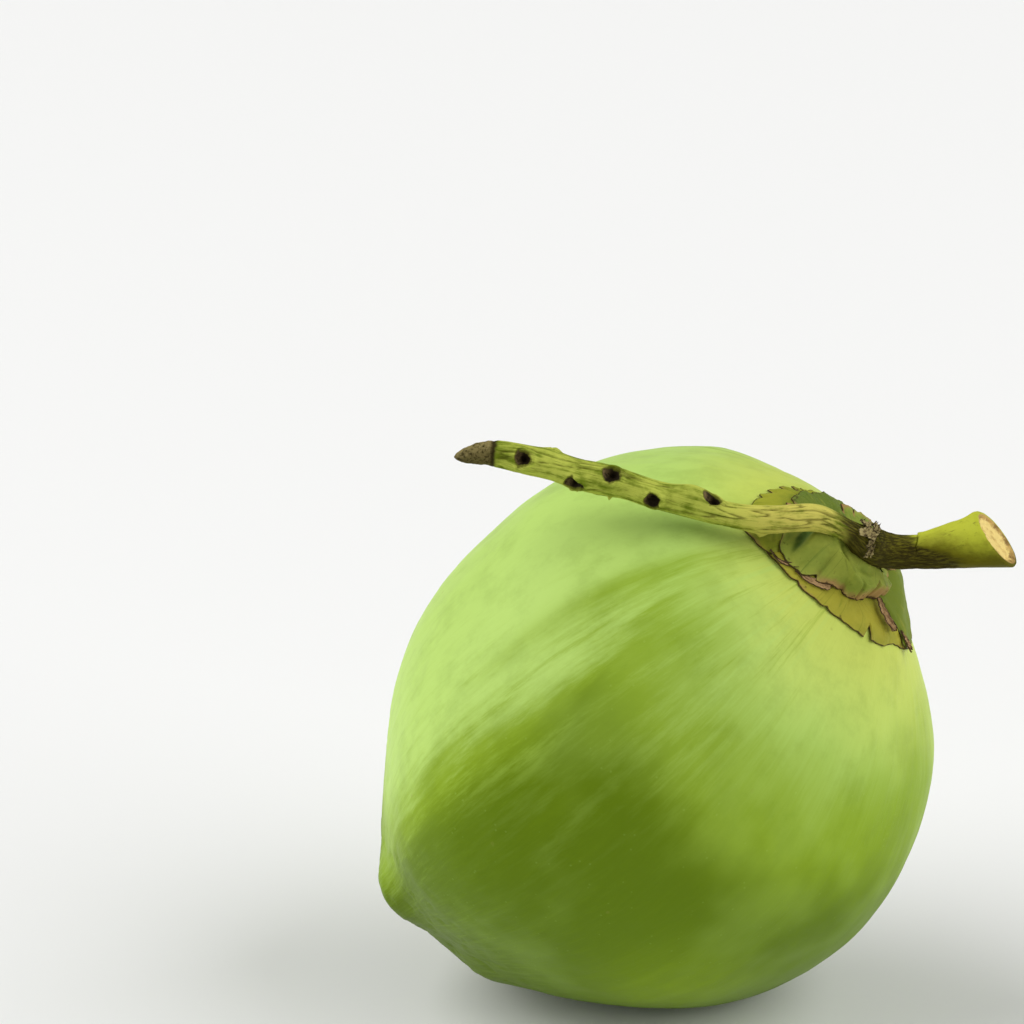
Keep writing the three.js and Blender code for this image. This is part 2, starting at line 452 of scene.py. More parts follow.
# ---- Finishes --------------------------------------------------------------------------------------------
@dataclass(frozen=True)
class SkinFinish:
    """The waxy skin: deep green at the nub, painted pale on its lit side and deep green in shade, ripe at the
    calyx.
    """

    # The deep green is also the painted shade of the side away from the light, and the pale green the painted
    # light of the lit side.
    deep_and_shade: Colour = (0.114, 0.192, 0.002)
    green: Colour = (0.225, 0.345, 0.010)
    pale: Colour = (0.44, 0.63, 0.145)
    ripe: Colour = (0.54, 0.61, 0.105)
    nub: Colour = (0.095, 0.15, 0.006)
    scuff: Colour = (0.26, 0.27, 0.05)
    roughness: float = 0.42
    gloss: float = 0.08
    blotch: Cloud = Cloud(16.0, 3.0)
    mottle: Cloud = Cloud(75.0, 5.0, 0.65)
    streak: Cloud = Cloud(14.0, 6.0, 0.72)
    fibre: Cloud = Cloud(60.0, 4.0, 0.7)
    pore: Cloud = Cloud(600.0, 3.0)
    pore_depth: float = 0.14
    speck: Specks = Specks(330.0, 0.15, 0.55)
    scuffs: Specks = Specks(120.0, 0.10, 0.88)

    def make(self) -> bpy.types.Material:
        """Builds the material.

        Returns:
            The skin's material.
        """
        s = Shader("skin", self.roughness, self.gloss)
        here = s.place()
        grain = s.own("grain", vector=True)
        rise, side, ridge, tint_and_painted_light = s.own("rise"), s.own("side"), s.own("ridge"), s.own("tint_and_painted_light")
        blotches = s.cloud(here, self.blotch)
        mottle = s.cloud(here, self.mottle)
        streaks = s.cloud(grain, self.streak)
        fibres = s.cloud(grain, self.fibre).ramp(0.42, 0.75)
        # How pale the skin is: painted light on its lit side and painted shade opposite, towards the calyx,
        # and by its tints.
        uneven = (streaks - 0.5) * 0.42 + (blotches - 0.5) * 0.35
        painted_light = (side + uneven * (side + 0.35).most(0.0)).ramp(-0.02, 0.50)
        painted_light = painted_light * rise.ramp(0.03, 0.25)
        topped = (rise + (blotches - 0.5) * 0.24 + (streaks - 0.5) * 0.06).ramp(0.52, 1.0)
        paleness = painted_light.most(topped) + tint_and_painted_light * (0.6 + streaks * 0.8)
        tone = s.mix(paleness.ramp(0.0, 0.42), self.deep_and_shade, self.green)
        tone = s.mix(paleness.ramp(0.30, 1.0), tone, self.pale)
        tone = s.mix((rise + (blotches - 0.5) * 0.15).ramp(0.80, 0.95) * 0.9, tone, self.ripe)
        # Streaks along the ridges, and fibres towards the nub.
        streaked = ridge.ramp(0.05, 0.8) * (paleness + 0.12)
        tone = s.mix(streaks.ramp(0.46, 0.68) * streaked * 0.52, tone, self.pale)
        tone = s.mix((1 - streaks.ramp(0.32, 0.47)) * streaked * 0.50, tone, self.green)
        tone = s.mix(fibres * (1 - rise.ramp(0.25, 0.8)) * 0.14, tone, self.green)
        tone = s.mix(fibres * (1 - rise.ramp(0.10, 0.30)) * 0.30, tone, self.pale)
        # Mottling, blotches, the nub darker on its shaded side, partly painted shade, specks and scuffs.
        tone = s.mix((1 - mottle.ramp(0.30, 0.58)) * 0.18, tone, self.deep_and_shade)
        tone = s.mix(blotches.ramp(0.5, 0.66) * 0.14, tone, self.pale)
        tone = s.mix((1 - rise.ramp(0.0, 0.26)) * (1 - side.ramp(0.0, 0.35)) * 0.7, tone, self.nub)
        tone = s.mix(s.specks(here, self.speck) * 0.12, tone, self.pale)
        tone = s.mix(s.specks(here, self.scuffs) * 0.28, tone, self.scuff)
        s.colour(tone)
        s.roughness(0.36 + mottle * 0.14 + fibres * 0.05)
        s.bump(fibres * 0.4 + s.cloud(here, self.pore) * 0.3 + streaks * 0.3, self.pore_depth, 0.7)
        return s.material


@dataclass(frozen=True)
class LobeFinish:
    """A leathery calyx lobe with a dry, split margin; its band and line are widths in millimetres."""

    name: str
    fresh: Colour = (0.29, 0.31, 0.022)
    shade: Colour = (0.19, 0.23, 0.016)
    worn_and_highlight: Colour = (0.42, 0.36, 0.035)
    deep_and_shade: Colour = (0.135, 0.185, 0.010)
    dry: Colour = (0.36, 0.21, 0.075)
    edge: Colour = (0.045, 0.024, 0.006)
    band: float = 0.9
    line: float = 0.42
    dryness: float = 0.45
    gloss: float = 0.15
    surface_roughness: float = 0.6
    vein: Cloud = Cloud(1.0, 5.0, 0.7)
    rib: Cloud = Cloud(1.0, 3.0, 0.6)
    rib_stretch: Colour = (3.2, 0.22, 1.0)
    patch: Cloud = Cloud(110.0, 4.0, 0.6)
    crumb: Cloud = Cloud(420.0, 4.0, 0.7)
    vein_depth: float = 0.35

    def make(self) -> bpy.types.Material:
        """Builds the material.

        Returns:
            The lobe's material.
        """
        s = Shader(self.name, self.surface_roughness, self.gloss)
        here = s.place()
        veins = s.own("grain", vector=True)
        margin, dried, tint_and_painted_light = s.own("margin"), s.own("dried"), s.own("tint_and_painted_light")
        lines = s.cloud(veins, self.vein)
        patches = s.cloud(here, self.patch)
        crumbs = s.cloud(here, self.crumb)
        ragged = margin + (patches - 0.5) * 3.4 + (lines - 0.5) * 2.2
        tone = s.mix(patches.ramp(0.35, 0.65), self.shade, self.fresh)
        # The tint: above 0 paler and worn, and a painted highlight on a fold; below 0 deep green, painted
        # shade on lobes in shade and in a fold's hollow.
        tone = s.mix((tint_and_painted_light + (patches - 0.5) * tint_and_painted_light * 0.8).ramp(0.0, 1.0), tone, self.worn_and_highlight)
        tone = s.mix((0 - tint_and_painted_light).ramp(0.0, 1.0), tone, self.deep_and_shade)
        tone = s.mix(lines.ramp(0.52, 0.75) * 0.4, tone, self.worn_and_highlight)
        tone = s.mix((1 - lines.ramp(0.27, 0.40)) * 0.6, tone, self.shade)
        # The ribs, the dry band along the margin and the dark line at its edge.
        dry_band = 1 - (ragged - dried * self.band * 0.5).ramp(0.0, self.band)
        ribs = s.cloud(s.stretched(veins, self.rib_stretch), self.rib)
        tone = s.mix((1 - ribs.ramp(0.33, 0.40)) * 0.45, tone, self.deep_and_shade)
        tone = s.mix(dry_band * self.dryness * dried.ramp(0.05, 0.6), tone, self.dry)
        freckled = (1 - crumbs.ramp(0.30, 0.42)) * (1 - ragged.ramp(self.band, self.band * 3.0))
        tone = s.mix(freckled * 0.75, tone, self.edge)
        outline = 1 - (margin + (crumbs - 0.5) * 0.9).ramp(self.line * 0.4, self.line)
        tone = s.mix(outline * 0.9, tone, self.edge)
        s.colour(tone)
        s.roughness(0.55 + patches * 0.25)
        s.bump(lines * 0.6 + crumbs * 0.4, self.vein_depth, 0.8)
        return s.material


@dataclass(frozen=True)
class BarkFinish:
    """The fibrous bark: green, brown where thin, grey at its dry tip, pale where cut, painted lighter on top.
    """

    olive: Colour = (0.125, 0.175, 0.006)
    yellow: Colour = (0.56, 0.51, 0.10)
    leafy: Colour = (0.45, 0.50, 0.075)
    moss_and_shade: Colour = (0.105, 0.095, 0.002)
    fresh: Colour = (0.44, 0.47, 0.035)
    groove: Colour = (0.060, 0.055, 0.003)
    brown: Colour = (0.028, 0.021, 0.002)
    umber: Colour = (0.150, 0.135, 0.010)
    grey: Colour = (0.24, 0.195, 0.07)
    scar: Colour = (0.014, 0.009, 0.003)
    crust: Colour = (0.19, 0.135, 0.055)
    flesh: Colour = (0.80, 0.62, 0.22)
    core: Colour = (0.62, 0.42, 0.13)
    rim: Colour = (0.25, 0.15, 0.045)
    surface_roughness: float = 0.6
    gloss: float = 0.08
    line: Cloud = Cloud(1.0, 6.0, 0.7)
    fine: Cloud = Cloud(3.4, 4.0, 0.7)
    patch: Cloud = Cloud(130.0, 4.0, 0.6)
    crumb: Cloud = Cloud(800.0, 4.0, 0.7)
    flesh_grain: Cloud = Cloud(420.0, 4.0)
    rim_grain: Cloud = Cloud(300.0, 5.0, 0.7)
    fibre_depth: float = 0.4

    def make(self) -> bpy.types.Material:
        """Builds the material, from the green bark to the brown wood, the tip, the scars and the cut face.

        Returns:
            The bark's material.
        """
        s = Shader("bark", self.surface_roughness, self.gloss)
        here = s.place()
        grain = s.own("grain", vector=True)
        along, scar, cut, brown = s.own("along"), s.own("scar"), s.own("cut"), s.own("brown")
        top, groove, hollow = s.own("top"), s.own("groove"), s.own("hollow")
        lines = s.cloud(grain, self.line)
        fine = s.cloud(grain, self.fine)
        patches = s.cloud(here, self.patch)
        crumbs = s.cloud(here, self.crumb)
        # The green of the thin end, then that of the stub, painted lighter on the stub's top.
        bright = s.mix(along.ramp(0.52, 0.64), self.yellow, self.leafy)
        lit = lines * 0.55 + patches * 0.45 + (1 - along.ramp(0.50, 0.64)) * 0.07
        lit = lit - (1 - along.ramp(0.43, 0.475)) * 0.09
        tone = s.mix(lit.ramp(0.40, 0.58), self.olive, bright)
        painted_top_light = top * 0.9 + (1 - along.ramp(0.0, 0.22)) * 0.35
        painted_top_light = painted_top_light + (patches - 0.5) * 0.5 + (lines - 0.5) * 0.3
        stub = s.mix(painted_top_light.ramp(0.40, 1.0), self.moss_and_shade, self.fresh)
        tone = s.mix(1 - along.ramp(0.22, 0.30), tone, stub)
        tone = s.mix(groove * 0.58, tone, self.groove)
        # The brown wood between them, painted lighter on top, with dark lines over all the bark.
        wood = s.mix(fine.ramp(0.44, 0.64) * (0.35 + top * 0.6), self.brown, self.umber)
        mottled = ((lines - 0.5) * 1.5 + (patches - 0.5) * 0.6) * brown.ramp(0.0, 0.3)
        tone = s.mix((brown + mottled).ramp(0.2, 0.9) * 0.96, tone, wood)
        tone = s.mix((1 - lines.ramp(0.28, 0.41)) * 0.5, tone, self.brown)
        tone = s.mix((1 - fine.ramp(0.30, 0.42)) * 0.5, tone, self.brown)
        # The dry tip, painted lighter on top; the scars, with painted shadow; the cut face with its ring.
        dried = (along + (lines - 0.5) * 0.02).ramp(0.872, 0.882)
        cracked = s.mix(crumbs.ramp(0.35, 0.55) * (0.35 + top * 0.65), self.brown, self.grey)
        tone = s.mix(dried, tone, s.mix(along.ramp(0.884, 0.896), self.brown, cracked))
        # The craters are dark, partly their own brown and partly painted shadow on the deep side of each,
        # with crust on the shallow side.
        tone = s.mix(scar.ramp(0.05, 0.35) * 0.7, tone, self.groove)
        crater = s.mix(hollow * (0.25 + crumbs.ramp(0.38, 0.60) * 0.75), self.scar, self.crust)
        tone = s.mix((scar + (crumbs - 0.5) * 0.3).ramp(0.40, 0.62), tone, crater)
        cream = s.mix(s.cloud(here, self.flesh_grain).ramp(0.32, 0.50), self.core, self.flesh)
        ring = s.mix(s.cloud(here, self.rim_grain).ramp(0.36, 0.62) * 0.8, self.rim, self.core)
        tone = s.mix(cut.ramp(0.10, 0.13), tone, ring)
        tone = s.mix((cut + (crumbs - 0.5) * 0.35 + (patches - 0.5) * 0.3).ramp(0.20, 0.32), tone, cream)
        s.colour(tone)
        s.roughness(0.5 + patches * 0.3)
        s.bump(lines * 0.5 + fine * 0.3 + crumbs * 0.25, self.fibre_depth, 0.8)
        return s.material


@dataclass(frozen=True)
class ScaleFinish:
    """Dry, papery remains: bract flakes at the joint and curled strips of the calyx."""

    name: str
    light: Colour = (0.46, 0.38, 0.16)
    dark: Colour = (0.09, 0.06, 0.02)
    edge: Colour = (0.03, 0.016, 0.005)
    surface_roughness: float = 0.8
    line: Cloud = Cloud(1.0, 5.0, 0.7)
    line_depth: float = 0.3

    def make(self) -> bpy.types.Material:
        """Builds the material.

        Returns:
            The dry remains' material.
        """
        s = Shader(self.name, self.surface_roughness)
        lines = s.cloud(s.own("grain", vector=True), self.line)
        outline = 1 - (s.own("margin") + (lines - 0.5) * 0.3).ramp(0.08, 0.24)
        tone = s.mix(lines.ramp(0.36, 0.58), self.dark, self.light)
        s.colour(s.mix(outline * 0.85, tone, self.edge))
        s.bump(lines, self.line_depth, 0.9)
        return s.material


# ---- Pose ------------------------------------------------------------------------------------------------
@dataclass
class Pose:
    """Carries the fruit's frame, in millimetres, into the row's frame, in metres."""

    axis_turn: float = math.radians(-15.8)
    axis_rise: float = math.radians(40.6)
    roll: float = math.radians(-93.3)
    shift: np.ndarray = field(default_factory=lambda: np.zeros(3))

    def matrix(self) -> np.ndarray:
        """Leans the fruit's axis over, turns it and rolls the fruit about it.

        Returns:
            The rotation from the fruit's frame into the row's frame.
        """
        lean = Matrix.Rotation(math.pi / 2 - self.axis_rise, 3, "Y")
        turned = Matrix.Rotation(self.axis_turn, 3, "Z") @ lean @ Matrix.Rotation(self.roll, 3, "Z")
        return np.array(turned)

    def place(self, points: np.ndarray) -> np.ndarray:
        """Points of the row's frame, in metres."""
        return points @ self.matrix().T * MM + self.shift

    def fit(self, skin: np.ndarray) -> None:
        """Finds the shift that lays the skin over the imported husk.

        Args:
            skin: points of the whole skin in the fruit's frame.
        """
        low, high = (np.array(corner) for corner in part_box("husk"))
        laid = self.place(skin.reshape(-1, 3))
        middle = (laid.min(0) + laid.max(0)) / 2
        self.shift = (low + high) / 2 - middle
        self.shift[2] = high[2] - laid.max(0)[2]


# ---- Fruit -----------------------------------------------------------------------------------------------
@dataclass(frozen=True)
class Spot:
    """A soft round spot of the skin, at a height and a turn in degrees: a dent, a swelling or a lighter or
    darker patch.
    """

    height: float
    turn: float
    strength: float
    along: float
    around: float


@dataclass
class Fruit:
    """The three-sided fruit: its outline, its three ridges and the fine unevenness of its skin.

    Each point of the outline holds a height, the radius between the ridges and the radius on a ridge.
    """

    length: float = 194.0
    outline: tuple = (
        (0, 0, 0), (1.2, 13, 13), (6, 24, 33), (18, 41, 43), (40, 61, 70), (68, 77, 88),
        (100, 82, 92.5), (132, 78, 86), (160, 60, 68), (177, 39.5, 42.5), (188, 22, 20), (194, 0, 0),
    )
    ridges: int = 3
    ridge_turn: float = math.radians(-13.2)
    ridge_sharpness: float = 1.9
    nub_shift: tuple = (2.5, -2.0)
    stalk_end_shift: tuple = (-7.0, -11.5)
    # The turn of the lit side: the skin is painted pale there and deep green opposite, as painted light and
    # shade.
    painted_light_turn: float = math.radians(-100)
    dents: tuple = (
        Spot(7, 9, -1.5, 6, 15),
        Spot(17, 20, -1.0, 6, 9),
        Spot(17.5, 43, 1.8, 7, 13),
        Spot(9, -28, 1.3, 7, 18),
        Spot(27, -63, -1.7, 15, 18),
        Spot(155, -108, -1.3, 20, 17),
        Spot(138, 90, -1.0, 20, 14),
        Spot(185, 97, -1.5, 6, 20),
        Spot(185, 137, -2.2, 9, 26),
    )
    # Lighter and darker patches. Some are painted light and shade: the dark band beside a ridge at turn -36,
    # and the light patch at turn 51 where the floor throws light back.
    tints_and_painted_light: tuple = (
        Spot(145, -35.5, -0.42, 22, 4.5),
        Spot(112, -36, -0.24, 22, 4.0),
        Spot(125, -26, 0.16, 36, 3.0),
        Spot(134, -8, -0.12, 20, 14),
        Spot(178, -5, 0.15, 12, 22),
        Spot(155, 26, 0.12, 18, 18),
        Spot(129, 73, -0.14, 25, 25),
        Spot(168, 86, -0.24, 15, 18),
        Spot(76, 51, 0.28, 30, 22),
        Spot(103, -6, 0.10, 16, 10),
        Spot(14, -26, 0.38, 9, 14),
    )
    grain_length: float = 0.35
    swells: Waves = Waves(0.5, 1 / 55)
    ripples: Waves = Waves(0.12, 1 / 14, 3)
    pucker_scale: float = 1 / 6
    pucker_depth: float = 0.9
    ridge_fibres: Waves = Waves(0.12, 20.0, 3)
    fibre_scale: float = 9.0
    fibre_height: float = 0.07
    nub_fibre_height: float = 0.16
    around: int = 360
    along: int = 256
    fit_rings: int = 300
    fit_sides: int = 360

    def ridge_share(self, angle: np.ndarray) -> np.ndarray:
        """1 on a ridge and 0 in the middle of a face."""
        return ((1 + np.cos(self.ridges * (angle - self.ridge_turn))) / 2) ** self.ridge_sharpness

    def form(self, t: np.ndarray, angle: np.ndarray) -> np.ndarray:
        """Points on the plain form, as it is packed.

        Args:
            t: places along the outline, from the nub at 0 to the stalk end at 1.
            angle: turns about the fruit's axis.

        Returns:
            The points, in the fruit's frame.
        """
        t, angle = np.broadcast_arrays(np.asarray(t, float), np.asarray(angle, float))
        rows = smooth_curve(np.array(self.outline, float), t)
        share = self.ridge_share(angle)
        radius = rows[..., 1] * (1 - share) + rows[..., 2] * share
        rise = np.clip(rows[..., 0] / self.length, 0, 1)
        up, down = rise**3, (1 - rise) ** 3
        x = radius * np.cos(angle) + self.stalk_end_shift[0] * up + self.nub_shift[0] * down
        y = radius * np.sin(angle) + self.stalk_end_shift[1] * up + self.nub_shift[1] * down
        return np.stack([x, y, rows[..., 0]], -1)

    def plain_points(self) -> np.ndarray:
        """Points all over the plain form."""
        turns = np.linspace(0, 2 * math.pi, self.fit_sides)
        return self.form(*np.meshgrid(np.linspace(0, 1, self.fit_rings), turns))

    def skin(self, t: np.ndarray, angle: np.ndarray) -> np.ndarray:
        """Points on the skin: the plain form with its shallow dents and swellings.

        Args:
            t: places along the outline.
            angle: turns about the fruit's axis.

        Returns:
            The points, in the fruit's frame.
        """
        t, angle = np.broadcast_arrays(np.asarray(t, float), np.asarray(angle, float))
        points = self.form(t, angle)
        depth = self.spots(self.dents, points[..., 2], angle)
        return points + self.normal(t, angle) * depth[..., None]

    def spots(self, rows: tuple[Spot, ...], height: np.ndarray, angle: np.ndarray) -> np.ndarray:
        """The sum of soft round spots.

        Args:
            rows: the spots.
            height: heights of the points.
            angle: turns of the points.

        Returns:
            What the spots add up to at each point.
        """
        total = np.zeros(np.broadcast(height, angle).shape)
        for spot in rows:
            off = np.degrees(turn_between(angle, math.radians(spot.turn)))
            total += spot.strength * bell(height, spot.height, spot.along) * bell(off, 0, spot.around)
        return total

    def normal(self, t: np.ndarray, angle: np.ndarray) -> np.ndarray:
        """Directions straight out of the plain form.

        Args:
            t: places along the outline.
            angle: turns about the fruit's axis.

        Returns:
            Vectors of length 1.
        """
        step = 1e-3
        t = np.clip(np.asarray(t, float), 2 * step, 1 - 2 * step)
        along = self.form(t + step, angle) - self.form(t - step, angle)
        across = self.form(t, angle + step) - self.form(t, angle - step)
        return unit(np.cross(across, along))

    def lifted(self, t: np.ndarray, angle: np.ndarray, lift: np.ndarray) -> np.ndarray:
        """Points at a height off the skin."""
        return self.skin(t, angle) + self.normal(t, angle) * np.asarray(lift)[..., None]

    def unevenness(self, angle: np.ndarray, points: np.ndarray) -> np.ndarray:
        """How far the real skin stands off the smooth form, in millimetres.

        Args:
            angle: turns of the points.
            points: the points, in the fruit's frame.

        Returns:
            The heights: broad swells, ripples, fibres, puckers at the nub and fibres along the ridges.
        """
        rise = points[..., 2] / self.length
        turned = spokes(angle, rise * self.grain_length)
        broad = self.swells.at(points) + self.ripples.at(points)
        low_end = (1 - ease(rise, 0.04, 0.45)) * ease(rise, 0.01, 0.06)
        fibres = rough(turned, self.fibre_scale, 4) * (self.fibre_height + self.nub_fibre_height * low_end)
        at_nub = low_end * (1 - ease(rise, 0.12, 0.3))
        puckers = np.maximum(rough(points, self.pucker_scale, 3) - 0.15, 0) * -self.pucker_depth * at_nub
        on_ridge = self.ridge_fibres.at(turned) * self.ridge_share(angle) ** 0.5
        return broad + fibres + puckers + on_ridge

    def build(self, pose: Pose) -> bpy.types.Object:
        """Makes the skin with its flat spot.

        Args:
            pose: what carries the fruit into the row's frame.

        Returns:
            The skin's object.
        """
        t, angle = tube_grid(np.linspace(0, 1, self.along + 1)[1:-1], self.around)
        smooth = self.skin(t, angle)
        points = smooth + self.normal(t, angle) * self.unevenness(angle, smooth)[..., None]
        rise = points[..., 2] / self.length
        values = {
            "rise": rise,
            "ridge": self.ridge_share(angle),
            # How far a point turns towards the lit side, which the skin's finish paints pale: painted light.
            "side": np.cos(turn_between(angle, self.painted_light_turn)),
            "tint_and_painted_light": self.spots(self.tints_and_painted_light, points[..., 2], angle),
            "grain": spokes(angle, rise * self.grain_length),
        }
        data = MeshData()
        index = data.add(points, values)
        data.patch(index, wrap=True)
        for ring, end, flip in ((index[0], 0.0, True), (index[-1], 1.0, False)):
            tip = data.middle(ring)
            tip[2] = end * self.length
            nothing = np.zeros(1)
            grain = np.array([[0, 0, end * self.grain_length]])
            own = {"rise": nothing + end, "ridge": nothing, "side": nothing, "tint_and_painted_light": nothing, "grain": grain}
            data.cap(ring, tip, own, flip)
        piece = data.build("husk_skin", pose)
        for vertex in piece.data.vertices:
            vertex.co.z = max(vertex.co.z, 0.0)
        return piece


# ---- Calyx -----------------------------------------------------------------------------------------------
@dataclass(frozen=True)
class Notch:
    """A split in a lobe's margin, at a turn in degrees."""

    turn: float
    depth: float
    width: float


@dataclass(frozen=True)
class Bulge:
    """A soft swelling of a lobe, at a turn and a reach."""

    turn: float
    reach: float
    height: float
    turn_spread: float
    reach_spread: float


@dataclass(frozen=True)
class Fold:
    """A rounded fold that rises past its foot and ends at a turn, with painted shade in a hollow along its
    foot.
    """

    foot: float
    slope: float
    end: float
    end_slope: float
    height: float
    shade: float = 1.5
    # A painted highlight over the fold's raised part.
    painted_highlight: float = 0.25


@dataclass(frozen=True)
class Crease:
    """A straight crease between two places, each of them a turn and a reach."""

    start: tuple[float, float]
    end: tuple[float, float]
    depth: float
    width: float


@dataclass(frozen=True)
class DryPatch:
    """A stretch of a lobe that has dried, at a turn."""

    turn: float
    spread: float
    amount: float


@dataclass
class Lobe:
    """One lobe of the calyx: where it lies, its margin and the way it lifts, folds and splits."""

    name: str
    node: str
    turn: float
    half_width: float
    lift: float
    margin: tuple = ()
    base: float = 9.0
    thickness: float = 0.9
    bulges: tuple = ()
    fold: Fold | None = None
    creases: tuple = ()
    wrinkle: float = 0.35
    curl: float = 0.5
    raggedness: float = 0.6
    notches: tuple = ()
    side_lift: tuple = (0.0, 0.0)
    sweep: float = 0.0
    dried: tuple = ()
    # Above 0 the lobe is paler and worn; below 0 it is painted darker, as shade.
    tint_and_painted_light: float = 0.0
    seed: float = 0.0
    across: int = 220
    outwards: int = 72


@dataclass
class Strip:
    """A dry strip that curls up along the calyx."""

    name: str
    line: tuple
    width: float = 1.15
    lift: float = 2.2
    curl: float = 1.1
    thickness: float = 0.35
    seed: float = 0.0
    across: int = 26
    along: int = 70


@dataclass
class Calyx:
    """The ring of petals and sepals between the fruit and its stalk.

    Turns are in degrees about the stalk's seat, and reaches are millimetres over the skin from it.
    """

    fruit: Fruit
    base: float = 10.0
    settle: float = 34.5
    seat: tuple = (15.0, -1.0)
    rim: tuple = (
        (-170, 26), (-140, 24.5), (-110, 24), (-92, 27), (-75, 36.5), (-60, 43.5), (-45, 48.5), (-30, 45),
        (-15, 41), (0, 38.5), (20, 36), (40, 35), (60, 32.5), (80, 34), (110, 34), (150, 31), (190, 26),
    )
    outline_steps: int = 2001
    margin_waves: Waves = Waves(1.0, 1.9, 5)
    curl_waves: Waves = Waves(1.0, 3.0, 3)
    wrinkles: Waves = Waves(1.0, 0.16)
    fold_waves: Waves = Waves(0.9, 0.11, 2)
    corner_rounding: float = 0.03
    vein_turn: float = 7.0
    vein_length: float = 2.2
    strip_waves: Waves = Waves(0.25, 1.3, 3)
    strip_crumple: Waves = Waves(0.35, 2.0)

    def __post_init__(self) -> None:
        """Measures the outline from the stalk end."""
        self.steps = np.linspace(1, 0, self.outline_steps)
        rows = smooth_curve(np.array(self.fruit.outline, float), self.steps)[:, :2]
        gaps = np.linalg.norm(np.diff(rows, axis=0), axis=1)
        self.reaches = np.concatenate([[0], np.cumsum(gaps)])

    def surface(self, angle: np.ndarray, reach: np.ndarray, lift: np.ndarray) -> np.ndarray:
        """Points over the stalk end of the fruit.

        Args:
            angle: turns about the stalk's seat.
            reach: distances from it over the skin.
            lift: heights off the skin.

        Returns:
            The points, in the fruit's frame.
        """
        near = 1 - ease(reach, self.base, self.settle)
        x = reach * np.cos(angle) + self.seat[0] * near
        y = reach * np.sin(angle) + self.seat[1] * near
        t = np.interp(np.hypot(x, y), self.reaches, self.steps)
        return self.fruit.lifted(t, np.arctan2(y, x), lift)

    def reach_at(self, outline: tuple, degrees: np.ndarray) -> np.ndarray:
        """How far an outline extends at some angles.

        Args:
            outline: its turns in degrees and its reaches.
            degrees: the angles.

        Returns:
            The reaches.
        """
        turns, reaches = np.array(outline, float).T
        place = np.interp(degrees, turns, np.linspace(0, 1, len(turns)))
        return smooth_curve(reaches[:, None], place)[..., 0]

    def near_line(
        self, angle: np.ndarray, reach: np.ndarray, start: tuple, end: tuple, width: float
    ) -> np.ndarray:
        """1 on a straight line between two places over the fruit's end, fading over a width.

        Args:
            angle: turns of the points.
            reach: distances of the points.
            start: the line's first turn, in degrees, and distance.
            end: its last.
            width: how far the line spreads.

        Returns:
            The nearness of each point.
        """
        x, y = reach * np.cos(angle), reach * np.sin(angle)
        ends = ((r * math.cos(math.radians(w)), r * math.sin(math.radians(w))) for w, r in (start, end))
        (x0, y0), (x1, y1) = ends
        run, climb = x1 - x0, y1 - y0
        along = np.clip(((x - x0) * run + (y - y0) * climb) / (run**2 + climb**2), 0, 1)
        gap = np.hypot(x - x0 - along * run, y - y0 - along * climb)
        return bell(gap, 0, width) * np.sin(math.pi * np.clip(along, 0.12, 0.88)) ** 0.5

    def margin_of(self, lobe: Lobe, a: np.ndarray, degrees: np.ndarray, edge_line: np.ndarray) -> np.ndarray:
        """How far a lobe reaches, with its rounded corners, its ragged edge and its splits.

        Args:
            lobe: its sizes.
            a: places across the lobe, from -1 to 1.
            degrees: turns of the points.
            edge_line: what the noise of the edge is read from.

        Returns:
            The reaches of the margin.
        """
        around = (degrees + 180) % 360 - 180
        margin = self.reach_at(lobe.margin, degrees) if lobe.margin else self.reach_at(self.rim, around)
        margin = margin * (1 - self.corner_rounding * a**8)
        margin = margin + lobe.raggedness * self.margin_waves.at(edge_line)
        for notch in lobe.notches:
            nearness = np.clip(1 - np.abs(degrees - notch.turn) / notch.width, 0, 1)
            margin = margin - notch.depth * nearness**0.75
        return margin

    def raise_fold(
        self, fold: Fold, b: np.ndarray, degrees: np.ndarray, flat: np.ndarray
    ) -> tuple[np.ndarray, np.ndarray]:
        """How far a fold lifts its lobe, and its painted shade and highlight.

        Args:
            fold: its sizes.
            b: places from the lobe's base at 0 to its margin at 1.
            degrees: turns of the points.
            flat: the points, laid flat.

        Returns:
            The lift, and the tint of painted shade and highlight.
        """
        past_foot = flat[..., 1] + self.fold_waves.at(flat)
        raised = ease(past_foot, fold.foot, fold.foot + fold.slope)
        raised = raised * (1 - ease(degrees, fold.end - fold.end_slope, fold.end))
        lift = fold.height * raised * (1 - ease(b, 0.66, 0.98)) ** 0.8
        # Painted shade along the hollow at the fold's foot, and a painted highlight over the raised part.
        hollow = bell(past_foot, fold.foot - fold.slope * 0.1, fold.slope * 0.65)
        return lift, fold.painted_highlight * raised - fold.shade * hollow * (1 - ease(b, 0.75, 1.0))

    def build(self, lobe: Lobe, pose: Pose) -> bpy.types.Object:
        """Makes one lobe as a thin closed shell.

        Args:
            lobe: its sizes.
            pose: what carries the fruit into the row's frame.

        Returns:
            The lobe's object.
        """
        a, b = np.meshgrid(np.linspace(-1, 1, lobe.across), np.linspace(0, 1, lobe.outwards) ** 0.9)
        degrees = lobe.turn + a * lobe.half_width
        angle = np.radians(degrees - lobe.sweep * (1 - b) * np.maximum(-a, 0))
        edge_line = np.stack([degrees / 20, np.full_like(a, lobe.seed), a * 0], -1)
        margin = self.margin_of(lobe, a, degrees, edge_line)
        reach = lobe.base + (margin - lobe.base) * b
        flat = np.stack([reach * np.cos(angle), reach * np.sin(angle), np.full_like(a, lobe.seed * 9)], -1)
        lift = lobe.lift + lobe.wrinkle * np.maximum(self.wrinkles.at(flat), -0.6)
        for bulge in lobe.bulges:
            swell = bell(degrees, bulge.turn, bulge.turn_spread)
            swell = swell * bell(reach, bulge.reach, bulge.reach_spread)
            lift = lift + bulge.height * swell * (1 - ease(b, 0.80, 1.0) * 0.75)
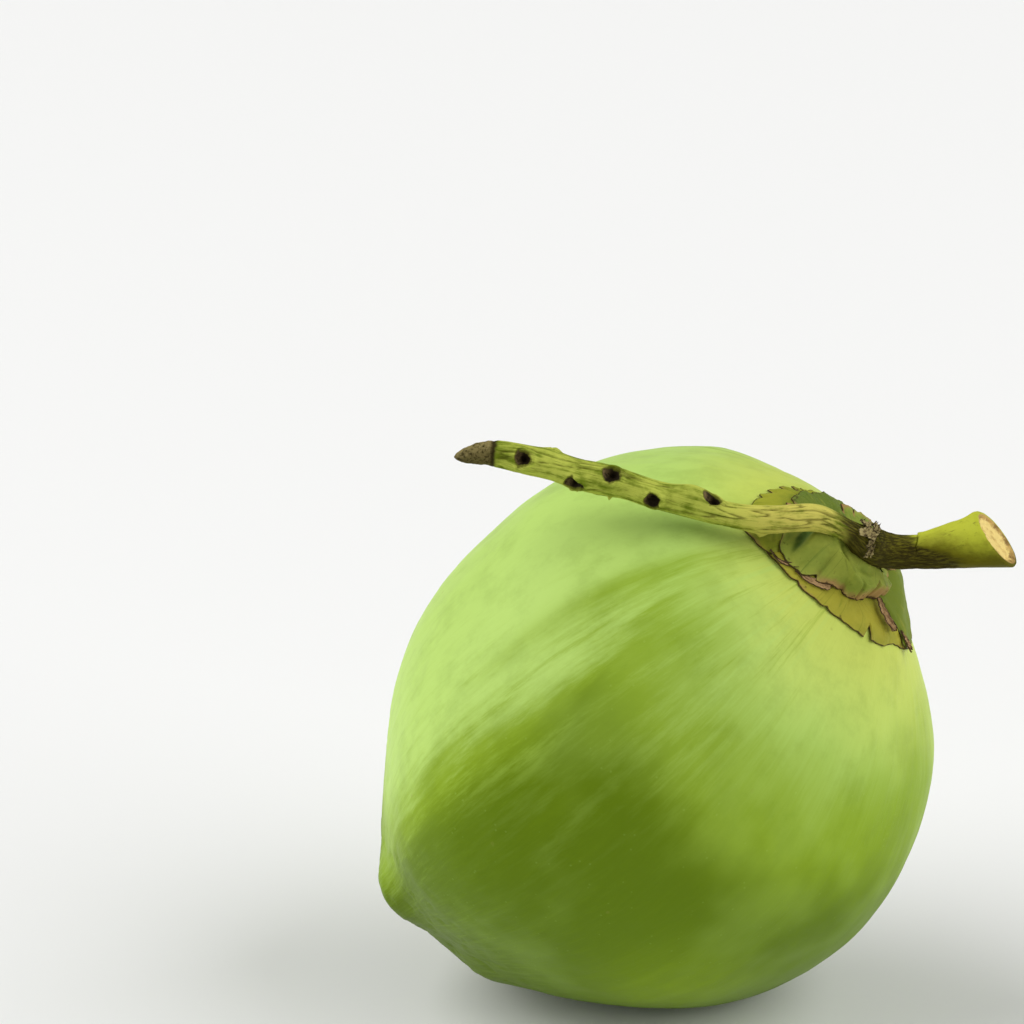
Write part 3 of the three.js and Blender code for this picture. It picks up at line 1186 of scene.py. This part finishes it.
        # The lobe's tint, to which its fold adds painted shade and highlight.
        tint_and_painted_light = np.full_like(a, lobe.tint_and_painted_light)
        if lobe.fold:
            fold_lift, fold_shade_and_highlight = self.raise_fold(lobe.fold, b, degrees, flat)
            lift, tint_and_painted_light = lift + fold_lift, tint_and_painted_light + fold_shade_and_highlight
        for crease in lobe.creases:
            lift = lift - crease.depth * self.near_line(angle, reach, crease.start, crease.end, crease.width)
        lift = lift + lobe.side_lift[0] * ease(-a, 0.55, 1.0) + lobe.side_lift[1] * ease(a, 0.55, 1.0)
        curled = 0.3 + np.maximum(self.curl_waves.at(edge_line), -0.3)
        lift = lift + lobe.curl * ease(b, 0.88, 1.0) * curled
        lift = np.maximum(lift, lobe.lift * 0.8)
        sides = ease(1 - np.abs(a), 0.0, 0.06)
        thick = lobe.thickness * (0.3 + 0.7 * np.minimum(sides, 1 - ease(b, 0.9, 1.0)))
        side_gap = (1 - np.abs(a)) * math.radians(lobe.half_width) * np.maximum(reach, 8)
        dried = sum((dry.amount * bell(degrees, dry.turn, dry.spread) for dry in lobe.dried), a * 0)
        veins = [degrees / self.vein_turn, b * self.vein_length, np.full_like(a, lobe.seed)]
        values = {
            "margin": np.minimum(margin - reach, side_gap),
            "dried": np.clip(dried, 0, 1),
            "tint_and_painted_light": tint_and_painted_light,
            "grain": np.stack(veins, -1),
        }
        top = self.surface(angle, reach, lift + thick)
        under = self.surface(angle, reach, lift)
        return shell(lobe.name, top, under, values, pose)

    def build_strip(self, strip: Strip, pose: Pose) -> bpy.types.Object:
        """Makes one curled strip as a thin closed shell.

        Args:
            strip: its sizes; its line holds angles and reaches.
            pose: what carries the fruit into the row's frame.

        Returns:
            The strip's object.
        """
        a, b = np.meshgrid(np.linspace(-1, 1, strip.across), np.linspace(0, 1, strip.along))
        turns, reaches = np.array(strip.line, float).T
        route = np.stack([reaches * np.cos(np.radians(turns)), reaches * np.sin(np.radians(turns))], -1)
        behind, line, ahead = (
            smooth_curve(route, np.clip(b + step, 0, 1), Ends.CARRIED) for step in (-0.02, 0, 0.02)
        )
        way = unit(ahead - behind)
        noise_place = np.stack([a * 0 + strip.seed, b * 6, a], -1)
        width = strip.width * (0.45 + 0.75 * ease(b, 0, 0.7)) * (1 - 0.75 * ease(b, 0.9, 1.0) * np.abs(a))
        width = width * (1 + self.strip_waves.at(noise_place))
        flat = line + np.stack([-way[..., 1], way[..., 0]], -1) * (a * width)[..., None]
        lift = strip.lift + strip.curl * a**2 * (0.5 + 0.5 * ease(b, 0.2, 1.0))
        lift = lift + self.strip_crumple.at(noise_place)
        angle, reach = np.arctan2(flat[..., 1], flat[..., 0]), np.hypot(flat[..., 0], flat[..., 1])
        values = {
            "margin": np.minimum((1 - np.abs(a)) * width, np.minimum(b, 1 - b) * 12),
            "grain": np.stack([a * 2, b * 3, np.full_like(a, strip.seed)], -1),
        }
        top = self.surface(angle, reach, lift + strip.thickness)
        return shell(strip.name, top, self.surface(angle, reach, lift), values, pose, flip=True)


# ---- Stalk -----------------------------------------------------------------------------------------------
@dataclass
class Scar:
    """The crater that a fallen flower left."""

    along: float
    turn: float
    size: float = 1.0
    lip: float = 1.0
    swell: float = 1.4
    swell_at: float = -0.3
    swell_spread: float = 1.9


@dataclass
class Stalk:
    """The stalk: cut stub, joint over the calyx and long thin end with flower scars.

    Each point of its line holds a place and a radius. Places along it run from the cut end at 0 to the tip
    at 1, and turns about it are in degrees from the front: 90 is on top.
    """

    line: tuple = (
        (12.9, 8.1, 230.2, 9.1),
        (12.5, 5, 223.6, 7.8),
        (12.3, 1.5, 216.5, 6.5),
        (12.8, -2.5, 209, 5.4),
        (14, -7.7, 202.3, 5.3),
        (16, -12.5, 198.8, 5.4),
        (19.5, -20.5, 197.2, 3.3),
        (24, -29, 193.3, 4.1),
        (30.5, -36.5, 185, 3.9),
        (35, -46.5, 175.5, 3.7),
        (38, -62.5, 164, 3.8),
        (41, -76, 154.5, 3.9),
        (44.5, -90, 144, 3.8),
        (47.5, -100.5, 135.7, 3.9),
        (49.3, -104.8, 130.8, 3.5),
        (51.3, -108.2, 125.2, 2.2),
    )
    front: tuple = (0.92, 0.0, 0.39)
    scars: tuple = (
        Scar(0.462, 165, 0.8),
        Scar(0.555, -130, 0.9),
        Scar(0.619, 50, 1.05, lip=0.6, swell=2.9, swell_at=1.25, swell_spread=1.25),
        Scar(0.645, 170, 0.9),
        Scar(0.675, -27, 1.0),
        Scar(0.730, 24, 1.15),
        Scar(0.742, -150, 0.9),
        Scar(0.768, -47, 0.95),
        Scar(0.800, 130, 0.9),
        Scar(0.834, 0, 1.2),
    )
    scar_along: float = 0.0118
    scar_around: float = 33.0
    thorn: tuple = (0.722, -88)
    step_at: float = 0.198
    brown_from: float = 0.205
    brown_to: float = 0.420
    dry_from: float = 0.875
    tip_from: float = 0.945
    tip_reach: float = 0.4
    cut_slant: tuple = (0.45, 0.06)
    cut_slant_length: float = 0.10
    cut_rounding: float = 0.6
    dish: float = 0.9
    least_radius: float = 0.3
    waves: Waves = Waves(0.42, 0.9, 3)
    fibres: Waves = Waves(0.20, 4.5)
    winding: Waves = Waves(1.0, 1.3, 3)
    groove_depth: float = 2.2
    step_line: Waves = Waves(0.010, 2.0, 3)
    step_depth: float = 0.55
    crack_depth: float = 0.7
    tip_crumple: Waves = Waves(0.35, 1.5, 3)
    thorn_height: float = 1.3
    brown_edge: Waves = Waves(0.015, 3.0, 3)
    saw_marks: Waves = Waves(0.45, 6.0)
    grain_around: float = 2.6
    grain_along: float = 14.0
    rings: int = 760
    sides: int = 96
    face_rings: int = 30
    seat_point: int = 5
    seat_along: float = 0.28
    seat_radius: float = 5.0
    seat_flare: float = 3.6
    seat_waves: Waves = Waves(0.8, 2.6)
    seat_rings: int = 40
    seat_sides: int = 72

    def path(self, t: np.ndarray) -> np.ndarray:
        """The centre line.

        Args:
            t: places along the stalk.

        Returns:
            Its points, with the radius as a fourth value.
        """
        line = np.array(self.line, float)
        points = smooth_curve(line[:, :3], t, Ends.CARRIED)
        rounded = np.sqrt(1 - np.clip((t - self.tip_from) / (1.001 - self.tip_from), 0, 1) ** 2.2)
        return np.concatenate([points, smooth_curve(line[:, 3:], t) * rounded[..., None]], -1)

    def frames(self, t: np.ndarray) -> tuple[np.ndarray, np.ndarray, np.ndarray]:
        """The directions along the stalk.

        Args:
            t: places along the stalk.

        Returns:
            The tangent, the side and the front.
        """
        step = 2e-3
        ahead, behind = (self.path(np.clip(t + way, 0, 1))[..., :3] for way in (step, -step))
        tangent = unit(ahead - behind)
        front = unit(np.array(self.front) - tangent * (tangent @ np.array(self.front))[..., None])
        return tangent, np.cross(tangent, front), front

    def scar_field(self, t: np.ndarray, angle: np.ndarray) -> tuple[np.ndarray, np.ndarray, np.ndarray]:
        """What the scars do to the bark.

        Args:
            t: places along the stalk.
            angle: turns about its centre line.

        Returns:
            Their height in millimetres, the mask of their craters, painted dark in part as shadow, and the
            mask of the crusts in them.
        """
        height, mask, hollow = np.zeros_like(t), np.zeros_like(t), np.zeros_like(t)
        for number, scar in enumerate(self.scars):
            u = (t - scar.along) / (self.scar_along * scar.size)
            v = turn_between(angle, math.radians(scar.turn)) / math.radians(self.scar_around * scar.size)
            near = np.hypot(u, v) < 5
            place = np.stack([u, v, np.full_like(u, number * 7.3)], -1)
            jagged = np.zeros_like(u)
            jagged[near] = rough(place[near], 1.1, 4)
            d = np.hypot(u * (1.0 + 0.25 * np.sign(u)), v) * (1 + 0.35 * jagged)
            swell = scar.swell * bell(np.hypot(u * 0.8 - scar.swell_at * 0.8, v), 0, scar.swell_spread)
            lip = 0.9 * scar.lip * np.exp(-(((d - 0.92) / 0.22) ** 2)) * (0.6 - 0.4 * np.tanh(2 * u))
            pit = 3.0 * (1 - ease(d, 0.30, 0.80)) * (0.75 - 0.35 * np.tanh(1.5 * u)) * (1 + 0.6 * jagged)
            height += swell + lip * (1 + 0.8 * jagged) - pit
            inside = 1 - ease(d, 0.45, 0.92)
            mask = np.maximum(mask, inside)
            hollow = np.maximum(hollow, inside * ease(u + 0.5 * jagged, -0.15, 0.45))
        return height, mask, hollow

    def relief(self, t: np.ndarray, angle: np.ndarray) -> np.ndarray:
        """Wrinkles, fibres, the thorn and the broken step of the bark.

        Args:
            t: places along the stalk.
            angle: turns about its centre line.

        Returns:
            The heights off the smooth bark, in millimetres.
        """
        turned = spokes(angle, t * 9)
        wrinkled = self.waves.at(turned) - self.groove_depth * self.grooves(t, angle)
        fibrous = self.fibres.at(turned * np.array([1, 1, 0.35])) * (0.5 + 1.6 * self.brownness(t, angle))
        past_step = t - self.step_at - self.step_line.at(spokes(angle, t * 0))
        upper = ease(np.sin(angle), -0.35, 0.25)
        step = -self.step_depth * ease(past_step, -0.001, 0.0015) * (1 - ease(t, 0.24, 0.33)) * upper
        crack = -self.crack_depth * bell(past_step, 0.0008, 0.0016) * upper
        crumpled = self.tip_crumple.at(turned * np.array([2, 2, 3])) - 0.25
        dried = ease(t, self.dry_from, self.dry_from + 0.01) * crumpled
        thorn_turn = turn_between(angle, math.radians(self.thorn[1]))
        thorn = self.thorn_height * bell(np.hypot((t - self.thorn[0]) / 0.0022, thorn_turn / 0.12), 0, 1)
        return wrinkled * (0.25 + 0.75 * ease(t, 0.02, 0.12)) + fibrous + step + crack + dried + thorn

    def grooves(self, t: np.ndarray, angle: np.ndarray) -> np.ndarray:
        """The long winding grooves of the bark.

        Args:
            t: places along the stalk.
            angle: turns about its centre line.

        Returns:
            How deep they are, from 0 to about 0.4.
        """
        ridged = 0.5 - np.abs(self.winding.at(spokes(angle, t * 4.5)))
        return np.maximum(ridged - 0.42, 0) * 3 * ease(t, 0.36, 0.44) * (1 - ease(t, 0.86, 0.88))

    def brownness(self, t: np.ndarray, angle: np.ndarray) -> np.ndarray:
        """Where the bark has turned brown: further out underneath than on top.

        Args:
            t: places along the stalk.
            angle: turns about its centre line.

        Returns:
            1 where it is brown and 0 where it is green.
        """
        under = ease(-np.sin(angle), -0.55, 0.6)
        start = self.brown_from - 0.095 * under + self.brown_edge.at(spokes(angle, t * 3))
        end = self.brown_to + 0.02 * np.sin(angle)
        return ease(t - start, -0.02 - 0.03 * under, 0.03) * (1 - ease(t - end, -0.04, 0.03))

    def bark(self, t: np.ndarray, angle: np.ndarray, lift: np.ndarray, share: np.ndarray) -> np.ndarray:
        """Points on, over or inside the bark.

        Args:
            t: places along the stalk, from the cut end at 0 to the tip at 1.
            angle: turns about its centre line, from the front.
            lift: heights off the smooth bark.
            share: 1 on the bark and 0 on the centre line.

        Returns:
            The points, in the fruit's frame.
        """
        line = self.path(t)
        tangent, side, front = self.frames(t)
        radius = ((line[..., 3] + lift) * share)[..., None]
        out = side * np.sin(angle)[..., None] + front * np.cos(angle)[..., None]
        lean = self.cut_slant[0] * np.sin(angle) + self.cut_slant[1] * np.cos(angle)
        slant = (1 - ease(t, 0, self.cut_slant_length)) * lean
        return line[..., :3] + out * radius + tangent * slant[..., None] * radius

    def values(
        self,
        t: np.ndarray,
        angle: np.ndarray,
        scar: np.ndarray | float = 0.0,
        hollow: np.ndarray | float = 0.0,
        cut: np.ndarray | float = 0.0,
    ) -> dict[str, np.ndarray]:
        """The numbers that the bark's finish reads.

        Args:
            t: places along the stalk.
            angle: turns about its centre line.
            scar: 1 in a scar's crater.
            hollow: 1 on the crust in a crater.
            cut: how far in from the rim of the cut face, above 0 only on it.

        Returns:
            The named numbers.
        """
        return {
            "along": t,
            "scar": t * 0 + scar,
            "hollow": t * 0 + hollow,
            "cut": t * 0 + cut,
            # How near the top of the stalk a point is; the bark's finish paints it lighter there, as painted
            # light.
            "top": (1 + np.sin(angle)) / 2,
            "groove": np.clip(self.grooves(t, angle) * 5, 0, 1),
            "brown": self.brownness(t, angle),
            "grain": spokes(angle, t) * np.array([self.grain_around, self.grain_around, self.grain_along]),
        }

    def build(self, pose: Pose) -> bpy.types.Object:
        """Makes the stalk's bark, its cut face and its tip.

        Args:
            pose: what carries the fruit into the row's frame.

        Returns:
            The stalk's object.
        """
        t, angle = tube_grid(np.linspace(0, 1, self.rings), self.sides)
        scar, mask, hollow = self.scar_field(t, angle)
        lift = self.relief(t, angle) + scar - self.cut_rounding * bell(t, 0, 0.004)
        lift = np.maximum(lift, self.least_radius - self.path(t)[..., 3])
        data = MeshData()
        index = data.add(self.bark(t, angle, lift, np.ones_like(t)), self.values(t, angle, mask, hollow))
        data.patch(index, wrap=True, flip=True)
        share, face_angle = tube_grid(np.linspace(1, 0.03, self.face_rings)[1:], self.sides)
        start, inwards = np.zeros_like(share), 1 - share
        flat = np.stack([share * np.cos(face_angle), share * np.sin(face_angle), start], -1)
        depth = self.dish * ease(inwards, 0.06, 0.25) + self.saw_marks.at(flat) * ease(inwards, 0, 0.15)
        face = self.bark(start, face_angle, start + lift[:1], share)
        face = face + self.frames(np.zeros(1))[0][0] * depth[..., None]
        cap = data.add(face, self.values(start, face_angle, cut=0.05 + inwards))
        data.patch(np.vstack([index[:1], cap]), wrap=True)
        zero, one = np.zeros(1), np.ones(1)
        data.cap(cap[-1], data.middle(cap[-1]), self.values(zero, zero, cut=1.0))
        tip = self.path(one)[:, :3] + self.frames(one)[0] * self.tip_reach
        data.cap(index[-1], tip, self.values(one, zero), flip=True)
        return data.build("stalk_bark", pose)

    def build_seat(self, calyx: Calyx, pose: Pose) -> bpy.types.Object:
        """Makes the short knot between the stalk and the fruit.

        Args:
            calyx: what knows where the stalk's seat is.
            pose: what carries the fruit into the row's frame.

        Returns:
            The knot's object.
        """
        top = self.path(np.array([self.seat_point / (len(self.line) - 1)]))[0, :3]
        foot = calyx.surface(np.zeros(1), np.zeros(1), np.full(1, -1.5))[0]
        axis = unit(top - foot)
        side = unit(np.cross(axis, np.array([0.0, 1.0, 0.0])))
        other = np.cross(axis, side)
        rise, angle = tube_grid(np.linspace(0, 1, self.seat_rings), self.seat_sides)
        radius = self.seat_radius + self.seat_flare * (1 - rise) ** 2
        radius = radius + self.seat_waves.at(spokes(angle, rise * 0.6))
        centre = foot + (top - foot) * rise[..., None]
        out = side * np.cos(angle)[..., None] + other * np.sin(angle)[..., None]
        data = MeshData()
        index = data.add(centre + out * radius[..., None], self.values(rise * 0.02 + self.seat_along, angle))
        data.patch(index, wrap=True)
        own = self.values(np.full(1, self.seat_along), np.zeros(1))
        for ring, flip in ((index[0], True), (index[-1], False)):
            data.cap(ring, data.middle(ring), own, flip)
        return data.build("stalk_seat", pose)


@dataclass
class Flake:
    """A dry flake of bract at the stalk's joint; its place and length are shares of the stalk's length."""

    name: str
    at: float
    turn: float
    half_width: float
    length: float = 0.020
    lift: float = 0.3
    thickness: float = 0.35
    seed: float = 0.0
    node: str = ""
    outline_waves: Waves = Waves(0.8, 1.5)
    crumples: Waves = Waves(1.0, 1.3)
    half_stalk: float = 125.0
    rings: int = 34
    sides: int = 119

    def build(self, stalk: Stalk, pose: Pose) -> bpy.types.Object:
        """Makes the flake as a thin ragged shell.

        Args:
            stalk: what it wraps.
            pose: what carries the fruit into the row's frame.

        Returns:
            The flake's object.
        """
        r, w = tube_grid(np.linspace(0.02, 1, self.rings), self.sides)
        outline = np.stack([np.cos(w), np.sin(w), np.full_like(w, self.seed * 5)], -1)
        reach = r * (1 + self.outline_waves.at(outline))
        a, b = reach * np.cos(w), reach * np.sin(w)
        crumple = self.crumples.at(np.stack([a * 2, b * 2, np.full_like(a, self.seed)], -1))
        t = self.at + b * self.length / 2
        angle = math.radians(self.turn) + a * math.radians(self.half_width)
        lift = self.lift + 0.6 * np.abs(crumple) + r**2 * (0.4 + np.maximum(crumple, -0.3))
        values = {
            "margin": (1 - r) * self.length * self.half_stalk,
            "grain": np.stack([a * 1.6, b * 1.1, np.full_like(a, self.seed)], -1),
        }
        own = {name: value[0, :1] for name, value in values.items()}
        data = MeshData()
        top = data.add(stalk.bark(t, angle, lift + self.thickness, np.ones_like(a)), values)
        under = data.add(stalk.bark(t, angle, lift, np.ones_like(a)), values)
        for block, flip in ((top, False), (under, True)):
            data.patch(block, wrap=True, flip=flip)
            data.cap(block[0], data.middle(block[0]), own, not flip)
        data.patch(np.stack([top[-1], under[-1]]), wrap=True)
        return data.build(self.name, pose)


# ---- Studio ----------------------------------------------------------------------------------------------
@dataclass
class Lamp:
    """A wide soft light, as far away as a bright window."""

    name: str
    direction: tuple
    power: float
    spread: float = 70.0


@dataclass
class Studio:
    """The pale floor, the soft lights and the camera."""

    aim: np.ndarray
    elevation: float = math.radians(17)
    distance: float = 0.9
    lens: float = 100.0
    sensor: float = 36.0
    sight: float = 50.0
    subject_right: float = 0.0443
    subject_below: float = 0.0732
    lamps: tuple = (
        Lamp("window_left", (-0.8, 0.1, 0.6), 2.8),
        Lamp("window_right", (0.85, -0.15, 0.55), 2.4),
    )
    ambient: float = 0.2
    floor: Colour = (0.84, 0.84, 0.83)
    floor_half: float = 200.0
    floor_roughness: float = 0.7

    def camera(self) -> None:
        """Sets the camera at the front, looking down a little."""
        look = Vector((0, math.cos(self.elevation), -math.sin(self.elevation)))
        up = Vector((0, math.sin(self.elevation), math.cos(self.elevation)))
        target = Vector(self.aim) - Vector((1, 0, 0)) * self.subject_right + up * self.subject_below
        data = bpy.data.cameras.new("camera")
        data.lens = self.lens
        data.sensor_width = self.sensor
        data.clip_end = self.sight
        camera = bpy.data.objects.new("camera", data)
        camera.location = target - look * self.distance
        camera.rotation_euler = look.to_track_quat("-Z", "Y").to_euler()
        bpy.context.scene.collection.objects.link(camera)
        bpy.context.scene.camera = camera

    def lights(self) -> None:
        """Hangs the lamps and sets the even light of the room."""
        for lamp in self.lamps:
            data = bpy.data.lights.new(lamp.name, "SUN")
            data.angle = math.radians(lamp.spread)
            data.energy = lamp.power
            light = bpy.data.objects.new(lamp.name, data)
            away = Vector(lamp.direction).normalized()
            light.location = Vector(self.aim) + away
            light.rotation_euler = (-away).to_track_quat("-Z", "Y").to_euler()
            bpy.context.scene.collection.objects.link(light)
        world = bpy.data.worlds.new("room")
        world.use_nodes = True
        background = world.node_tree.nodes["Background"]
        background.inputs["Color"].default_value = (1, 1, 1, 1)
        background.inputs["Strength"].default_value = self.ambient
        bpy.context.scene.world = world

    def ground(self) -> None:
        """Lays the floor."""
        mesh = bpy.data.meshes.new("floor")
        half = self.floor_half
        corners = [(-half, -half, 0), (half, -half, 0), (half, half, 0), (-half, half, 0)]
        mesh.from_pydata(corners, [], [(0, 1, 2, 3)])
        floor = bpy.data.objects.new("floor", mesh)
        s = Shader("pale_floor", self.floor_roughness)
        s.surface.inputs["Base Color"].default_value = (*self.floor, 1.0)
        mesh.materials.append(s.material)
        bpy.context.scene.collection.objects.link(floor)


# ---- Assembly --------------------------------------------------------------------------------------------
PETALS = (
    Lobe(
        "petal_front", "petal_1", turn=27, half_width=57, lift=0.3, tint_and_painted_light=0.55, seed=1.3,
        notches=(Notch(34.5, 4.8, 2.4), Notch(-13, 0.8, 2), Notch(5, 0.7, 1.6)),
        creases=(
            Crease((16, 24), (13, 34), 0.45, 0.35),
            Crease((24, 22), (22, 32), 0.4, 0.3),
            Crease((50, 20), (47, 31), 0.4, 0.35),
        ),
        dried=(DryPatch(-8, 10, 0.8), DryPatch(34, 4, 0.5), DryPatch(72, 8, 0.5)),
    ),
    Lobe(
        "petal_left", "petal_3", turn=-82, half_width=54, lift=0.35, wrinkle=0.5, tint_and_painted_light=0.1, seed=4.1,
        notches=(
            Notch(-64, 1.4, 1.5),
            Notch(-69.5, 3.0, 2.4),
            Notch(-76, 3.6, 1.8),
            Notch(-82, 4.2, 2.2),
            Notch(-88, 3.4, 1.6),
            Notch(-47, 0.8, 1.5),
        ),
        bulges=(Bulge(-40, 38, 0.9, 6, 8),),
        creases=(Crease((-45, 34), (-38, 45), 0.7, 0.5), Crease((-50, 38), (-34, 41), 0.7, 0.5)),
        dried=(DryPatch(-77, 10, 1.0), DryPatch(-36, 8, 0.7)),
    ),
    Lobe(
        "petal_right", "petal_2", turn=147, half_width=78, lift=0.6, thickness=0.7, wrinkle=0.3, curl=0.2,
        # Its tint below 0 paints this petal darker, as shade.
        raggedness=0.4, side_lift=(0.6, 0.0), tint_and_painted_light=-0.85, seed=2.9,
        bulges=(Bulge(132, 20, 2.4, 38, 8),),
        dried=(DryPatch(80, 6, 0.4),),
    ),
)
SEPALS = (
    Lobe(
        "sepal_upper", "sepal_3", turn=-105, half_width=52, lift=1.3, thickness=1.1, wrinkle=0.8, curl=0.9,
        # Its tint below 0 paints this sepal darker, as shade.
        tint_and_painted_light=-0.6, seed=7.8,
        margin=(
            (-160, 16), (-148, 18), (-116, 21), (-100, 22.5), (-80, 26.5), (-67, 30), (-58, 33.5), (-50, 31),
        ),
        bulges=(Bulge(-80, 18, 1.4, 14, 8), Bulge(-112, 14, 1.5, 14, 6)),
        notches=(Notch(-62, 3.5, 3), Notch(-90, 1, 2)),
        dried=(DryPatch(-57, 6, 1.0), DryPatch(-100, 40, 0.12)),
    ),
    Lobe(
        "sepal_back", "sepal_2", turn=190, half_width=62, lift=2.4, thickness=1.0, wrinkle=0.7, curl=1.3,
        seed=6.2,
        margin=((125, 16), (150, 18), (180, 17), (215, 15.5), (232, 16.5), (255, 14.5)),
        bulges=(Bulge(200, 10, 1.0, 30, 5),),
        notches=(Notch(222, 2.2, 3), Notch(240, 2.0, 3)),
        dried=(DryPatch(140, 16, 0.7), DryPatch(190, 30, 0.5), DryPatch(240, 18, 1.0)),
    ),
    Lobe(
        "sepal_front", "sepal_1", turn=43.5, half_width=84.5, lift=1.3, thickness=1.2, wrinkle=0.7, curl=0.9,
        raggedness=0.9, sweep=26, seed=5.7,
        margin=(
            (-41, 36.5), (-34, 39.5), (-26, 40.5), (-17, 39.5), (-6, 35), (2, 31.5), (10, 29.5), (17, 26),
            (26, 21.5), (35, 17.5), (46, 15.5), (60, 15), (80, 15), (100, 14.5), (128, 13),
        ),
        bulges=(Bulge(-24, 18, 1.2, 12, 4), Bulge(-2, 23, 1.0, 12, 4), Bulge(40, 8, 1.0, 30, 4)),
        fold=Fold(foot=-16.5, slope=1.9, end=125, end_slope=80, height=6.0),
        creases=(
            Crease((-30, 14), (2, 19), 1.3, 0.9),
            Crease((-12, 24), (6, 27), 0.9, 0.8),
            Crease((10, 13), (30, 11), 0.8, 0.9),
            Crease((18, 17), (22, 22), 0.6, 0.5),
            Crease((60, 8), (62, 14), 0.7, 0.8),
        ),
        notches=(
            Notch(6, 2.2, 2.0),
            Notch(22, 2.6, 2.6),
            Notch(45, 1.6, 4),
            Notch(-10, 1.6, 2),
            Notch(75, 1.6, 5),
        ),
        dried=(
            DryPatch(0, 9, 0.7),
            DryPatch(25, 12, 0.9),
            DryPatch(62, 22, 0.9),
            DryPatch(105, 16, 0.9),
            DryPatch(-33, 4, 0.3),
        ),
    ),
)
STRIPS = (
    Strip(
        "dry_curl", ((66, 14.5), (61, 18), (57, 22), (54.5, 25.5), (56, 28.5)), width=1.75, seed=2.2
    ),
    Strip(
        "dry_sliver", ((69, 27.5), (71, 29.5), (75, 32), (79, 34)), width=0.9, lift=1.9, curl=0.5, seed=5.1
    ),
    Strip(
        "dry_edge", ((-17, 39.0), (-11, 37.5), (-5, 35), (0, 32.8)), width=1.0, lift=1.2, curl=0.7, seed=8.4
    ),
    Strip(
        "dry_crack", ((-30, 43), (-24, 42), (-19, 38.5), (-17, 35)), width=0.45, lift=1.1, curl=0.5, seed=9.3
    ),
)
FLAKES = (
    Flake("bract_front", 0.366, 32, 27, length=0.030, lift=0.5, seed=1.1, node="scale_1"),
    Flake("bract_upper", 0.352, 100, 34, length=0.020, lift=0.5, seed=3.4, node="scale_2"),
    Flake("bract_chip_1", 0.350, 58, 20, length=0.026, lift=0.8, seed=4.2),
    Flake("bract_chip_2", 0.341, -16, 22, length=0.018, lift=0.6, seed=6.6),
    Flake("bract_chip_3", 0.352, 4, 15, length=0.015, lift=0.4, seed=7.9),
    Flake("bract_chip_4", 0.376, 74, 18, length=0.016, lift=0.4, seed=9.1),
)
SEPAL_SKIN = LobeFinish(
    "sepal_skin",
    fresh=(0.28, 0.33, 0.045),
    shade=(0.19, 0.25, 0.03),
    worn_and_highlight=(0.35, 0.35, 0.05),
    # The deep green also paints the shade in the front sepal's fold.
    deep_and_shade=(0.07, 0.12, 0.012),
    band=1.7,
    dryness=0.9,
)
DRY_STRIP = ScaleFinish("dry_strip", light=(0.46, 0.29, 0.13), dark=(0.20, 0.11, 0.045))


def dress(piece: bpy.types.Object, material: bpy.types.Material, slot: str, *nodes: str) -> None:
    """Gives a piece its finish and its body, and hides the CAD nodes that it stands for.

    Args:
        piece: the object.
        material: its finish.
        slot: not used.
        nodes: the CAD nodes that it replaces.
    """
    piece.data.materials.append(material)
    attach(piece, BODY)
    if nodes:
        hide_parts(*nodes)
    log.info("%s: %d faces", piece.name, len(piece.data.polygons))


def main() -> None:
    """Builds the coconut and its studio."""
    logging.basicConfig(level=logging.INFO, format="%(message)s")
    fruit = Fruit()
    pose = Pose()
    pose.fit(fruit.plain_points())
    middle = pose.place(np.array([[0, 0, fruit.length / 2]]))[0]
    studio = Studio(middle)
    studio.camera()
    studio.lights()
    studio.ground()
    dress(fruit.build(pose), SkinFinish().make(), "husk_skin", "husk")
    calyx = Calyx(fruit)
    petal_finish = LobeFinish("petal_skin").make()
    for lobe in PETALS:
        dress(calyx.build(lobe, pose), petal_finish, "calyx_petal", lobe.node)
    sepal_finish = SEPAL_SKIN.make()
    for lobe in SEPALS:
        dress(calyx.build(lobe, pose), sepal_finish, "calyx_sepal", lobe.node)
    papery = DRY_STRIP.make()
    for strip in STRIPS:
        dress(calyx.build_strip(strip, pose), papery, "dry_scale")
    stalk = Stalk()
    bark = BarkFinish().make()
    dress(stalk.build(pose), bark, "stalk_bark", "stalk")
    dress(stalk.build_seat(calyx, pose), bark, "stalk_bark")
    dry = ScaleFinish("dry_bract").make()
    for flake in FLAKES:
        nodes = (flake.node,) if flake.node else ()
        dress(flake.build(stalk, pose), dry, "dry_scale", *nodes)
    view = bpy.context.scene.view_settings
    view.view_transform = "Standard"


if __name__ == "__main__":
    main()
